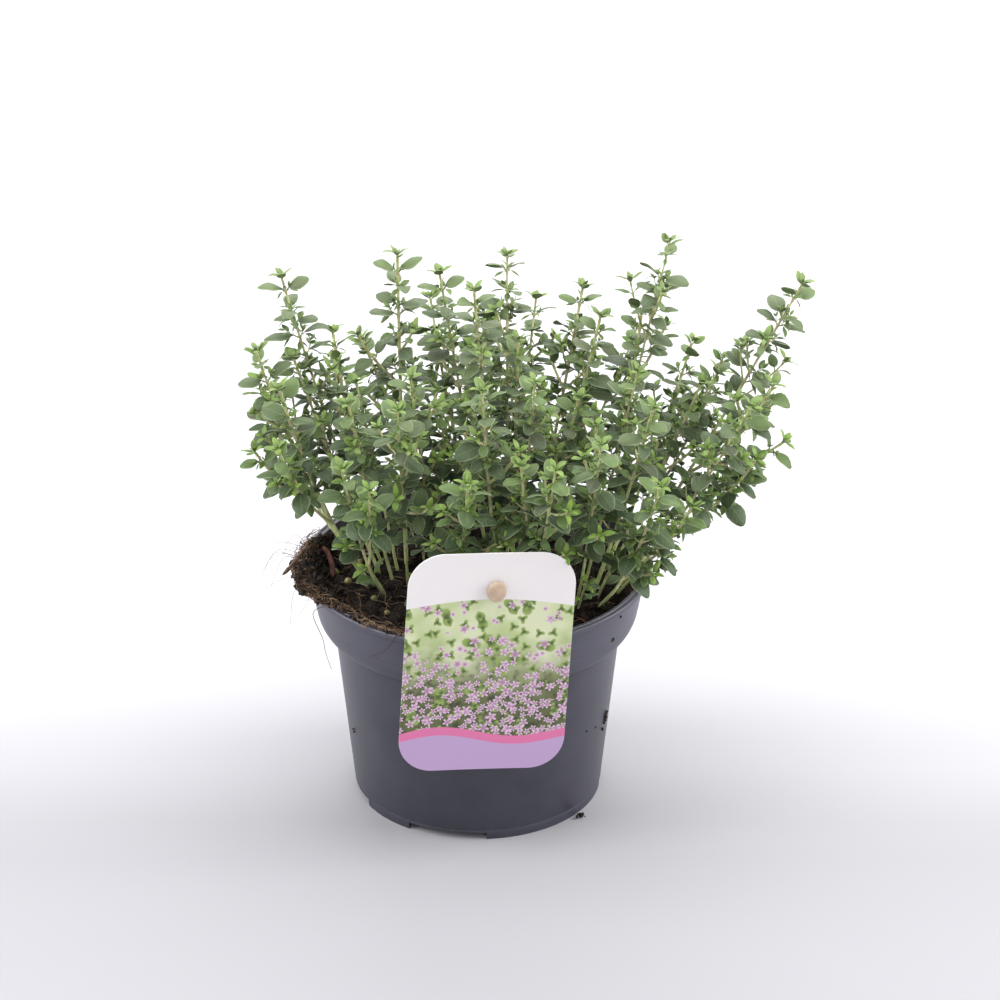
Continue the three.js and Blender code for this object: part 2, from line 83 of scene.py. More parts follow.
def addLights():
    for name, (place, size, power, colour) in light["boxes"].items():
        lamp = bpy.data.lights.new(name, "AREA")
        lamp.size = size * mm
        lamp.energy = power
        lamp.color = colour
        holder = bpy.data.objects.new(name, lamp)
        holder.location = Vector(place) * mm
        holder.rotation_euler = (Vector(light["aim"]) - Vector(place)).to_track_quat("-Z", "Y").to_euler()
        scene.collection.objects.link(holder)
    world = bpy.data.worlds.new("studio")
    world.use_nodes = True
    sky = world.node_tree.nodes["Background"]
    sky.inputs["Color"].default_value = (*light["world"], 1)
    sky.inputs["Strength"].default_value = light["worldStrength"]
    scene.world = world
    scene.view_settings.view_transform = "Standard"


# Shader maths as plain expressions: a wire is one output socket of a finish's nodes
class Wire:
    def __init__(self, finish, socket):
        self.finish = finish
        self.socket = socket

    def maths(self, operation, *values):
        return self.finish.node("Math", {"operation": operation}, dict(enumerate(values)))

    def __add__(self, other):
        return self.maths("ADD", self, other)

    def __radd__(self, other):
        return self.maths("ADD", other, self)

    def __sub__(self, other):
        return self.maths("SUBTRACT", self, other)

    def __rsub__(self, other):
        return self.maths("SUBTRACT", other, self)

    def __mul__(self, other):
        return self.maths("MULTIPLY", self, other)

    def __rmul__(self, other):
        return self.maths("MULTIPLY", other, self)

    def __pow__(self, other):
        return self.maths("POWER", self, other)

    def size(self):
        return self.maths("ABSOLUTE", self)

    def sine(self):
        return self.maths("SINE", self)

    # Smooth step from 0 at low to 1 at high
    def rise(self, low, high):
        settings = {"interpolation_type": "SMOOTHSTEP"}
        return self.finish.node("MapRange", settings, {0: self, 1: low, 2: high})


# One material, its Principled shader and the nodes that feed it
class Finish:
    def __init__(self, name, **fixed):
        self.material = bpy.data.materials.new(name)
        self.material.use_nodes = True
        self.tree = self.material.node_tree
        self.shader = self.tree.nodes["Principled BSDF"]
        for socket, value in fixed.items():
            self.shader.inputs[socket].default_value = value

    def node(self, kind, settings, inputs, output=0):
        made = self.tree.nodes.new("ShaderNode" + kind)
        for key, value in settings.items():
            if key == "stops":
                self.setStops(made.color_ramp, value)
            else:
                setattr(made, key, value)
        for key, value in inputs.items():
            self.feed(made.inputs[key], value)
        return Wire(self, made.outputs[output])

    def setStops(self, ramp, stops):
        while len(ramp.elements) < len(stops):
            ramp.elements.new(0.5)
        for element, (place, colour) in zip(ramp.elements, stops):
            element.position = place
            element.color = colour

    def feed(self, socket, value):
        if isinstance(value, Wire):
            self.tree.links.new(value.socket, socket)
        else:
            socket.default_value = value

    def place(self):
        return self.node("TexCoord", {}, {}, "Object")

    def attribute(self, name):
        return self.node("Attribute", {"attribute_name": name}, {}, "Fac")

    def stretched(self, scale):
        return self.node("Mapping", {}, {0: self.place(), 3: scale})

    def noise(self, place, scale, detail=2.0, rough=0.5):
        inputs = {"Vector": place, "Scale": scale, "Detail": detail, "Roughness": rough}
        return self.node("TexNoise", {}, inputs)

    def mix(self, factor, first, second):
        return self.node("Mix", {"data_type": "RGBA"}, {0: factor, 6: first, 7: second}, 2)

    def axis(self, vector, index):
        return self.node("SeparateXYZ", {}, {0: vector}, index)

    def bump(self, height, strength, distance):
        inputs = {"Height": height, "Strength": strength, "Distance": distance}
        self.feed(self.shader.inputs["Normal"], self.node("Bump", {}, inputs))

    def surface(self, colour, roughness):
        self.feed(self.shader.inputs["Base Color"], colour)
        self.feed(self.shader.inputs["Roughness"], roughness)
        return self.material


# A screen colour, 0 to 255, as the shader's linear values
def tint(red, green, blue):
    def linear(value):
        value /= 255
        return value / 12.92 if value <= 0.04045 else ((value + 0.055) / 1.055) ** 2.4
    return (linear(red), linear(green), linear(blue), 1)


# White paper with painted shade that darkens towards the camera, standing in for the lamps' falloff: its
# shade by depth along Y, in metres
paper = {
    "radius": 2.4, "sides": 96,
    "paintedShades": [(-0.06, 159), (-0.033, 163), (0.004, 176), (0.066, 186), (0.15, 191), (0.33, 203)],
}


def floorPaper():
    finish = Finish("floorPaper")
    near, far = paper["paintedShades"][0][0], paper["paintedShades"][-1][0]
    depth = (finish.axis(finish.place(), 1) - near) * (1 / (far - near))
    stops = [((y - near) / (far - near), tint(v, v - 0.5, v + 3)) for y, v in paper["paintedShades"]]
    # Painted shade: the floor's colour darkens towards the camera
    shade = finish.node("ValToRGB", {"stops": stops}, {"Fac": depth})
    finish.bump(finish.noise(finish.place(), 900), 0.05, 0.0002)
    return finish.surface(shade, 0.9)


def addFloor():
    bm = bmesh.new()
    bmesh.ops.create_circle(bm, cap_ends=True, segments=paper["sides"], radius=paper["radius"])
    mesh = bpy.data.meshes.new("floor")
    bm.to_mesh(mesh)
    bm.free()
    mesh.materials.append(floorPaper())
    floor = bpy.data.objects.new("floor", mesh)
    scene.collection.objects.link(floor)


# Turns a bmesh in millimetres into a named piece that stands for CAD nodes
def finishPiece(name, bm, materials, nodes=(), sharp=40):
    bmesh.ops.scale(bm, vec=(mm, mm, mm), verts=bm.verts)
    mesh = bpy.data.meshes.new(name)
    bm.to_mesh(mesh)
    bm.free()
    for material in materials:
        mesh.materials.append(material)
    mesh.shade_smooth()
    if sharp < 180:
        mesh.set_sharp_from_angle(angle=math.radians(sharp))
    piece = bpy.data.objects.new(name, mesh)
    scene.collection.objects.link(piece)
    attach(piece, "root")
    if nodes:
        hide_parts(*nodes)
    return piece


# Cuts a closed bmesh away from another; both stay in millimetres
def carve(bm, cutter):
    holders = []
    for part in (bm, cutter):
        mesh = bpy.data.meshes.new("carving")
        part.to_mesh(mesh)
        holder = bpy.data.objects.new("carving", mesh)
        scene.collection.objects.link(holder)
        holders.append(holder)
    cut = holders[0].modifiers.new("cut", "BOOLEAN")
    cut.operation = "DIFFERENCE"
    cut.solver = "EXACT"
    cut.object = holders[1]
    result = holders[0].evaluated_get(bpy.context.evaluated_depsgraph_get()).to_mesh()
    bm.clear()
    bm.from_mesh(result)
    cutter.free()
    for holder in holders:
        mesh = holder.data
        bpy.data.objects.remove(holder)
        bpy.data.meshes.remove(mesh)


# A closed skin over rings of points: a grid rolled up, its seam welded, its ends drawn to a point.
# Values are float layers of the new vertices, one number for each ring.
def addSkin(bm, rings, values=None):
    rings = np.asarray(rings)
    stations, sides = rings.shape[:2]
    made = bmesh.ops.create_grid(bm, x_segments=sides, y_segments=stations + 1, size=1)["verts"]
    layers = [(bm.verts.layers.float[name], numbers) for name, numbers in (values or {}).items()]
    ends = {0: rings[0].mean(axis=0), stations + 1: rings[-1].mean(axis=0)}
    for vert in made:
        column = round((vert.co.x + 1) / 2 * sides) % sides
        row = round((vert.co.y + 1) / 2 * (stations + 1))
        ring = min(max(row - 1, 0), stations - 1)
        vert.co = ends.get(row, rings[ring][column])
        for layer, numbers in layers:
            vert[layer] = numbers[ring]
    bmesh.ops.remove_doubles(bm, verts=made, dist=1e-4)


# Rings round a path, with the frame carried along it
def tubeRings(path, radii, sides, start=(1, 0, 0), square=0.0):
    path = np.asarray(path, dtype=float)
    headings = np.gradient(path, axis=0)
    headings /= np.linalg.norm(headings, axis=1)[:, None]
    side = np.asarray(start, dtype=float)
    angles = np.arange(sides) * 2 * math.pi / sides
    shape = 1 + square * np.cos(4 * angles)
    rings = []
    for point, heading, radius in zip(path, headings, radii):
        side = side - heading * side.dot(heading)
        side /= np.linalg.norm(side)
        up = np.cross(heading, side)
        spokes = np.cos(angles)[:, None] * side + np.sin(angles)[:, None] * up
        rings.append(point + spokes * (radius * shape)[:, None])
    return rings


# A smooth path through points, resampled about every step
def smoothPath(points, step):
    points = [np.asarray(p, dtype=float) for p in points]
    ends = [2 * points[0] - points[1], *points, 2 * points[-1] - points[-2]]
    path = []
    for i in range(1, len(ends) - 2):
        before, here, there, after = ends[i - 1:i + 3]
        count = max(1, round(np.linalg.norm(there - here) / step))
        for k in range(count):
            t = k / count
            path.append(0.5 * (2 * here + (there - before) * t
                               + (2 * before - 5 * here + 4 * there - after) * t ** 2
                               + (3 * here - before - 3 * there + after) * t ** 3))
    path.append(points[-1])
    return np.array(path)


# Turns a profile of radius and height round the Z axis
def spinProfile(bm, profile, steps):
    verts = [bm.verts.new((r, 0, z)) for r, z in profile]
    edges = [bm.edges.new(pair) for pair in zip(verts, verts[1:])]
    turn = {"axis": (0, 0, 1), "cent": (0, 0, 0), "angle": 2 * math.pi, "use_merge": True}
    bmesh.ops.spin(bm, geom=verts + edges, steps=steps, **turn)
    bmesh.ops.remove_doubles(bm, verts=bm.verts, dist=1e-4)


# Pot

pot = {
    "rimRadius": 65, "height": 92.6, "footRadius": 46.4, "wall": 1.2,
    "shoulderRadius": 53.6, "shoulderHeight": 68, "bandRadius": 60.3, "bandHeight": 78,
    "neckRadius": 62.6, "lipDepth": 2, "lipWidth": 3.2, "ridge": 0.35,
    "discRadius": 38, "channelHeight": 3, "lineHeight": 3.9, "lineDepth": 0.22,
    "innerCurve": [(57, 71.3), (58.7, 74.6)],
    "notchAngles": [-170.5, -104.5, 9.5, 75.5], "notchHeight": 2.8, "notchWidth": 30,
    "notchDepth": 10, "notchInset": 1.4, "steps": 180, "arcSteps": 10,
}


# The pot's inner face, from its floor to its lip
def innerFace():
    wall = pot["wall"]
    return [
        (pot["footRadius"] - wall, pot["channelHeight"] + wall),
        (pot["shoulderRadius"] - wall, pot["shoulderHeight"] + wall),
        *pot["innerCurve"],
        (pot["bandRadius"] - wall, pot["bandHeight"]),
        (pot["rimRadius"] - pot["lipWidth"], pot["height"]),
    ]


def potProfile():
    foot, line, depth = pot["footRadius"], pot["lineHeight"], pot["lineDepth"]
    slope = (pot["shoulderRadius"] - foot) / pot["shoulderHeight"]
    disc, channel, wall = pot["discRadius"], pot["channelHeight"], pot["wall"]
    band, ridge, rim, top = pot["bandRadius"], pot["ridge"], pot["rimRadius"], pot["height"]
    base = [(0, 0), (disc, 0), (disc + 0.8, channel), (foot - 2.8, channel), (foot - 2, 0), (foot, 0)]
    moulding = [
        (foot + slope * (line - 0.5), line - 0.5), (foot + slope * line - depth, line),
        (foot + slope * (line + 0.5), line + 0.5),
    ]
    wide, tall = band - pot["shoulderRadius"], pot["bandHeight"] - pot["shoulderHeight"]
    arc = []
    for i in range(pot["arcSteps"]):
        angle = math.pi / 2 * i / pot["arcSteps"]
        arc.append((band - wide + wide * math.sin(angle), pot["bandHeight"] - tall * math.cos(angle)))
    lip = [
        (band, pot["bandHeight"] - 0.2), (band + ridge, pot["bandHeight"] + 0.2),
        (band + ridge + 0.1, pot["bandHeight"] + 0.9), (pot["neckRadius"], top - pot["lipDepth"]),
        (rim - 0.3, top - pot["lipDepth"]), (rim, top - pot["lipDepth"] + 0.3), (rim, top - 0.35),
        (rim - 0.35, top), (rim - 1.1, top), (rim - 1.3, top - 0.3), (rim - 1.9, top - 0.3),
        (rim - 2.1, top),
    ]
    inner = list(reversed(innerFace()))
    floor = [(disc - 0.8, channel + wall), (disc - 1.6, wall), (0, wall)]
    return base + moulding + arc + lip + inner + floor


def makePot():
    bm = bmesh.new()
    spinProfile(bm, potProfile(), pot["steps"])
    bmesh.ops.recalc_face_normals(bm, faces=bm.faces)
    notches = bmesh.new()
    for angle in pot["notchAngles"]:
        box = bmesh.ops.create_cube(notches, size=1)["verts"]
        size = (pot["notchDepth"], pot["notchWidth"], 2 * pot["notchHeight"])
        bmesh.ops.scale(notches, vec=size, verts=box)
        bmesh.ops.translate(notches, vec=(pot["footRadius"] - pot["notchInset"], 0, 0), verts=box)
        bmesh.ops.rotate(notches, matrix=Matrix.Rotation(math.radians(angle), 3, "Z"), verts=box)
    carve(bm, notches)
    finishPiece("nursery_pot", bm, [potPlastic()], ["pot"], sharp=32)


def potPlastic():
    finish = Finish("potPlastic", **{"IOR": 1.5, "Specular IOR Level": 0.56})
    place = finish.place()
    height = finish.axis(place, 2)
    mottle = finish.noise(place, 55, 4, 0.6)
    colour = finish.mix(mottle.rise(0.3, 0.7), tint(47, 47, 58), tint(56, 56, 68))
    # Painted reflection: the band and lip are lighter, standing in for the white surroundings reflected there
    colour = finish.mix(height.rise(0.066, 0.08) * 0.8, colour, tint(68, 68, 80))
    scuff = finish.noise(finish.stretched((160, 160, 900)), 1, 3, 0.6).rise(0.66, 0.78)
    colour = finish.mix(scuff * 0.16, colour, tint(128, 124, 132))
    grit = finish.noise(place, 420, 3, 0.7).rise(0.66, 0.74) * (1 - height.rise(0.0, 0.045))
    colour = finish.mix(grit * 0.55, colour, tint(92, 82, 76))
    grain = finish.noise(place, 2600, 2)
    finish.bump(grain * 0.6 + mottle * 0.8, 0.12, 0.0002)
    return finish.surface(colour, 0.36 + mottle * 0.14 + scuff * 0.12)


# Plant: the same stems and leaf pairs as the solids, from the same rules

plant = {
    "soilLevel": 86.6, "soilSlope": -0.02, "clodHeight": 0.8, "stemFoot": 75, "holeTop": 97,
    "stemBase": 0.88, "stemTop": 0.5, "sideBase": 0.66, "rootSpread": 0.13, "rootGap": 4.6,
    "stemSteps": 10, "sideSteps": 8, "sideStart": 0.42, "stemGap": 2.8,
    "leafGap": 2.4, "leafWidth": 0.61, "sidePairs": 4, "sideBare": 9, "sideBow": 0.12,
    "tries": 40, "sway": 1.5, "moreSway": 0.6, "stemSeed": 2027, "leafSeed": 512,
}

# Leaf pairs, from the tip down: distance from the tip, leaf length, angle to the stem
pairs = [(1.5, 5.8, 40), (6.5, 9.2, 60), (14, 10.6, 68), (24.5, 11.4, 75), (37.5, 11.4, 79), (52, 10.8, 82)]

# Clumps that the stems grow from, in plan, and how high above the soil their stems stay bare
clumps = {"left": (-27, 3), "inner": (-11, 5), "middle": (12, -6), "right": (36, -4), "back": (6, 31)}
bareHeight = {"left": 34, "inner": 12, "middle": 24, "right": 26, "back": 20}

# Leafy stems: clump, tip, outward bow, and the tip of a side shoot where there is one
stems = [
    ("left", (-71, 10, 204), 0.04, (-53, 30, 162)),
    ("left", (-80, -5, 181), 0.1, (-81, -14, 145)),
    ("left", (-29, 18, 209), 0, (-15, 30, 148)),
    ("left", (-71, -24, 175), 0.12, (-71, -42, 160)),
    ("left", (-48, -52, 157), 0.14, (-38, -63, 154)),
    ("left", (-28, -48, 178), 0.05, None),
    ("inner", (-24, -19, 177), 0, None),
    ("left", (-44, 0, 166), 0, None),
    ("left", (-46, -30, 172), 0.04, None),
    ("left", (-55, 66, 156), 0.12, None),
    ("left", (-82, 36, 150), 0.15, None),
    ("left", (-67, 3, 175), 0.02, None),
    ("middle", (11, 22, 207), 0, None),
    ("middle", (-1, -2, 204), 0, (-4, 12, 169)),
    ("middle", (15, -2, 184), 0, None),
    ("middle", (21, -27, 179), 0, None),
    ("middle", (2, -44, 184), 0.04, None),
    ("middle", (28, -67, 164), 0.12, (16, -50, 157)),
    ("inner", (-3, -64, 157), 0.1, None),
    ("middle", (39, 34, 189), 0.02, (36, 20, 148)),
    ("middle", (45, 8, 189), 0.02, None),
    ("right", (70, 12, 217), 0, (60, 9, 190)),
    ("right", (118, 6, 203), 0.02, (107, -22, 176)),
    ("right", (80, 38, 165), 0.08, None),
    ("right", (98, -40, 176), 0.06, None),
    ("right", (112, -10, 147), -0.1, (101, -26, 148)),
    ("right", (82, 2, 165), 0.03, (90, 12, 170)),
    ("right", (58, -18, 179), 0, None),
    ("right", (63, -42, 176), 0.03, None),
    ("right", (44, -61, 171), 0.08, (43, -30, 163)),
    ("right", (65, -66, 157), 0.12, (77, -50, 141)),
    ("back", (-14, 42, 191), 0, None),
    ("back", (-43, 50, 160), 0.08, None),
    ("back", (-18, 71, 168), 0.08, None),
    ("back", (22, 66, 170), 0.06, None),
    ("back", (4, 88, 150), 0.14, None),
    ("back", (60, 66, 157), 0.1, None),
    ("back", (91, 52, 146), 0.15, None),
    ("inner", (-13, -8, 161), 0, None),
    ("middle", (37, -14, 167), 0, None),
]

label = {"width": 61, "height": 88.5, "corner": 13, "thick": 0.6, "middle": 86.3,
         "turn": 9.5, "roll": 3.5, "shift": -7.4, "fit": 0.35, "bow": 0.7,
         "holeAcross": 1.7, "holeUp": 29.6, "holeRadius": 1.95,
         "pinRadius": 1.6, "pinInset": 12, "pinFoot": 76, "pinBend": 5, "pinEnd": 2.2,
         "head": (3.5, 4.2, 1.3), "headGap": 0.35, "headDent": 0.25}


# The plant's own seeded random numbers, which the solids share
def randomFrom(seed):
    state = seed
    while True:
        state = (state * 48271) % 2147483647
        yield state / 2147483647


def vec(x, y, z):
    return np.array([x, y, z], dtype=float)


# A point at a reach and an angle, in radians, round the pot's middle
def polar(reach, angle, z=0.0):
    return vec(reach * math.cos(angle), reach * math.sin(angle), z)


def unit(vector):
    return vector / math.sqrt(vector.dot(vector))


def rotatedZ(degrees):
    turn = math.radians(degrees)
    return np.array([[math.cos(turn), -math.sin(turn), 0], [math.sin(turn), math.cos(turn), 0], [0, 0, 1]])


labelNormal = vec(math.sin(math.radians(label["turn"])), -math.cos(math.radians(label["turn"])), 0)
labelAcross = vec(math.cos(math.radians(label["turn"])), math.sin(math.radians(label["turn"])), 0)
labelBasis = np.column_stack([labelAcross, vec(0, 0, 1), labelNormal]) @ rotatedZ(-label["roll"])
labelPlace = (labelNormal * (pot["rimRadius"] + label["fit"]) + labelAcross * label["shift"]
              + vec(0, 0, label["middle"]))


# A point of the label's own plane in the part's frame
def onLabel(x, y, z=0.0):
    return labelBasis @ vec(x, y, z) + labelPlace


def bezier(a, b, c, t):
    return a * ((1 - t) * (1 - t)) + b * (2 * t * (1 - t)) + c * (t * t)


# The pin's path: its leg in the soil, then a bend forward through the hole in the label
def pinLine():
    eye = onLabel(label["holeAcross"], label["holeUp"])
    leg = eye - labelNormal * label["pinInset"]
    turnStart = vec(leg[0], leg[1], eye[2] - label["pinBend"])
    corner = vec(leg[0], leg[1], eye[2])
    turnEnd = corner + labelNormal * label["pinBend"]
    bend = [bezier(turnStart, corner, turnEnd, i / 20) for i in range(21)]
    return [vec(leg[0], leg[1], label["pinFoot"]), *bend, eye + labelNormal * label["pinEnd"]]


# Points over the label's upper part, which the leaves keep clear of
def labelPoints():
    across = np.arange(-label["width"] / 2, label["width"] / 2 + 1e-6, 3)
    up = np.arange(5, label["height"] / 2 + 1e-6, 3)
    return [onLabel(x, y) for x in across for y in up]


# Whether any point would stand between the camera and the label, or hang over the rim
def isInTheWay(points):
    tilt = math.radians(view["tilt"])
    sight = vec(0, math.cos(tilt), -math.sin(tilt))
    offset = np.asarray(points) - labelPlace
    ahead = offset @ labelNormal
    landed = offset - np.outer(ahead / (sight @ labelNormal), sight)
    across, up = landed @ labelBasis[:, 0], landed @ labelBasis[:, 1]
    inside = (np.abs(across) < label["width"] / 2 + 1) & (np.abs(up) < label["height"] / 2 + 1)
    low = np.asarray(points)[:, 2] < extras["rimClear"][1]
    wide = np.hypot(*np.asarray(points)[:, :2].T) > extras["rimClear"][0]
    return bool(np.any(inside & (ahead > -1.5)) or np.any(low & wide))


# Points already taken by stems and leaves, in a grid of cells
class Taken:
    def __init__(self):
        self.cell = 3
        self.cells = {}

    def key(self, point):
        return tuple(math.floor(value / self.cell) for value in point)

    def add(self, points, owner):
        for point in points:
            self.cells.setdefault(self.key(point), []).append((tuple(point), owner))

    # Whether all points keep the gap to what belongs to other owners
    def clear(self, points, owners, gap):
        for point in points:
            i, j, k = self.key(point)
            point = tuple(point)
            for a in (i - 1, i, i + 1):
                for b in (j - 1, j, j + 1):
                    for c in (k - 1, k, k + 1):
                        for other, owner in self.cells.get((a, b, c), ()):
                            if owner not in owners and math.dist(point, other) < gap:
                                return False
        return True


# Where each stem leaves the soil: near its clump, towards its tip, pushed apart evenly
def rootPlaces():
    spread, least = plant["rootSpread"], plant["rootGap"]
    roots = []
    for clump, tip, _, _ in stems:
        x, y = clumps[clump]
        roots.append([x + spread * (tip[0] - x), y + spread * (tip[1] - y)])
    for _ in range(80):
        for i in range(len(roots)):
            for j in range(i + 1, len(roots)):
                dx = roots[j][0] - roots[i][0]
                dy = roots[j][1] - roots[i][1]
                gap = math.hypot(dx, dy)
                if gap < least:
                    push = (least - gap) / 2 / gap
                    roots[i] = [roots[i][0] - dx * push, roots[i][1] - dy * push]
                    roots[j] = [roots[j][0] + dx * push, roots[j][1] + dy * push]
    return roots


# Points along a straight-sided line, about one every step millimetres
def along(line, step):
    points = []
    for here, there in zip(line, line[1:]):
        count = math.ceil(math.dist(here, there) / step)
        points += [here + (there - here) * (k / count) for k in range(count)]
    return points + [line[-1]]


def lengthOf(line):
    return sum(math.dist(here, there) for here, there in zip(line, line[1:]))


# Point and direction at a distance down from the tip
def fromTip(line, distance):
    left = distance
    for i in range(len(line) - 1, 0, -1):
        span = math.dist(line[i], line[i - 1])
        if left <= span or i == 1:
            return line[i] + (line[i - 1] - line[i]) * (left / span), unit(line[i] - line[i - 1])
        left -= span


# A bowed line from foot to tip, straight until it is clear of the soil
def stemLine(foot, tip, bow, sway, clearHeight, steps):
    bend = vec(foot[0] + (tip[0] - foot[0]) * (0.5 + bow) + sway[0],
               foot[1] + (tip[1] - foot[1]) * (0.5 + bow) + sway[1],
               foot[2] + (tip[2] - foot[2]) * (0.5 - bow))
    first = 1 / steps
    while bezier(foot, bend, tip, first)[2] < clearHeight:
        first += 0.01
    return [foot] + [bezier(foot, bend, tip, first + (1 - first) * (i / (steps - 1))) for i in range(steps)]


class Stem:
    def __init__(self, shoot, owner, line, base, pairCount):
        self.shoot = shoot
        self.owner = owner
        self.line = line
        self.base = base
        self.pairCount = pairCount
        self.length = lengthOf(line)
        self.nodes = []
        self.stalks = []
        self.buds = []
        self.start = 0

    # Radius at a distance from the tip
    def radius(self, place):
        return plant["stemTop"] + (self.base - plant["stemTop"]) * (place / self.length)


class Node:
    def __init__(self, stem, place, turn, level):
        self.point, self.heading = fromTip(stem.line, place)
        self.place = place
        self.turn = turn
        self.level = level
        self.radius = stem.radius(place)


# All stems and side shoots, swayed where they would come too near another
def growStems(taken, draws):
    grown = []

    def settle(owner, friends, make):
        for attempt in range(plant["tries"]):
            reach = plant["sway"] + plant["moreSway"] * attempt
            sway = ((next(draws) - 0.5) * reach, (next(draws) - 0.5) * reach)
            line = make(sway)
            if taken.clear(along(line, 1.5), friends, plant["stemGap"]):
                break
        taken.add(along(line, 1.5), owner)
        return line

    roots = rootPlaces()
    for i, (_, tip, bow, _) in enumerate(stems):
        foot, end = vec(*roots[i], plant["stemFoot"]), vec(*tip)
        line = settle(i, [i], lambda sway: stemLine(foot, end, bow, sway, plant["holeTop"],
                                                    plant["stemSteps"]))
        grown.append(Stem(i, i, line, plant["stemBase"], len(pairs)))
    for i, (_, _, _, sideTip) in enumerate(stems):
        if sideTip is None:
            continue
        parent = grown[i]
        foot, end = fromTip(parent.line, parent.length * (1 - plant["sideStart"]))[0], vec(*sideTip)
        line = settle(100 + i, [i], lambda sway: stemLine(foot, end, plant["sideBow"], sway, 0,
                                                          plant["sideSteps"]))
        grown.append(Stem(i, 100 + i, line, plant["sideBase"], plant["sidePairs"]))
    return grown


# The direction square to a stem's heading, at a turn round it
def outwards(heading, turn):
    right = unit(np.cross(heading, vec(1, 0, 0)))
    return right * math.cos(turn) + np.cross(heading, right) * math.sin(turn)


# A leaf leaves its stem sideways at an angle, and its face turns to the light
class Leaf:
    def __init__(self, node, turn, opening, length, width=plant["leafWidth"]):
        self.out = outwards(node.heading, turn)
        self.axis = node.heading * math.cos(opening) + self.out * math.sin(opening)
        face = node.heading * 0.6 + vec(0, 0, 0.4)
        self.face = unit(face - self.axis * face.dot(self.axis))
        self.side = np.cross(self.face, self.axis)
        self.base = node.point + self.out * (0.7 * node.radius)
        self.length = length
        self.width = width * length
        self.isRolled = False

    # Turns its face about its own axis
    def rolled(self, angle):
        self.isRolled = True
        side, face = self.side, self.face
        self.side = side * math.cos(angle) + face * math.sin(angle)
        self.face = face * math.cos(angle) - side * math.sin(angle)

    # Lifts a drooping leaf and turns its face up
    def levelled(self):
        level = min(0, self.axis[2] - extras["level"]) * extras["levelShare"]
        self.axis = unit(self.axis - vec(0, 0, level))
        up = vec(0, 0, 1) * extras["levelShare"] + self.face * (1 - extras["levelShare"])
        self.face = unit(up - self.axis * up.dot(self.axis))
        self.side = np.cross(self.face, self.axis)

    # How far along, across and high above its underside, each a number or an array
    def at(self, t, across, high):
        arch = (0.35 * t - 0.5 * t * t) * self.length
        t, across, high = np.broadcast_arrays(t, across, arch + high)
        return (self.base + t[..., None] * self.length * self.axis
                + across[..., None] * self.width * self.side + high[..., None] * self.face)

    def samples(self):
        rows = [(0.16, 0), (0.36, -0.5), (0.36, 0), (0.36, 0.5), (0.55, -0.48), (0.55, 0), (0.55, 0.48),
                (0.76, -0.4), (0.76, 0), (0.76, 0.4), (1, 0)]
        return self.at(np.array([t for t, _ in rows]), np.array([a for _, a in rows]), 0.3)


# Leaves in crossed pairs; one that would come too near another stem turns, closes or shrinks
def growLeaves(grown, taken, draws):
    tries = [(0, 0, 1), (16, 0, 1), (-16, 0, 1), (0, -14, 1), (22, -8, 0.85), (-22, -8, 0.85), (0, -20, 0.72)]
    rad = math.radians
    for level, (distance, length, opening) in enumerate(pairs):
        for stem in grown:
            if level == 0:
                stem.start = 360 * next(draws)
            bare = plant["sideBare"]
            if stem.owner < 100:
                bare = bareHeight[stems[stem.shoot][0]] + plant["soilLevel"] - plant["stemFoot"]
            if level >= stem.pairCount or distance > stem.length - bare:
                continue
            place = distance * (0.92 + 0.16 * next(draws))
            node = Node(stem, place, stem.start + 20 * (next(draws) - 0.5), level)
            node.leaves = []
            for half in (0, 180):
                turn = node.turn + 90 * (level % 2) + half
                lean = opening + 14 * (next(draws) - 0.5)
                size = length * (0.86 + 0.28 * next(draws))
                for twist, lift, scale in tries:
                    leaf = Leaf(node, rad(turn + twist), rad(lean + lift), size * scale)
                    if taken.clear(leaf.samples(), [stem.owner], plant["leafGap"]):
                        taken.add(leaf.samples(), stem.owner)
                        leaf.age = min(1, 0.15 + 0.28 * level)
                        node.leaves.append(leaf)
                        break
            stem.nodes.append(node)


# What only the eye needs: more pairs, buds at the tips, and shoots and branches in the axils

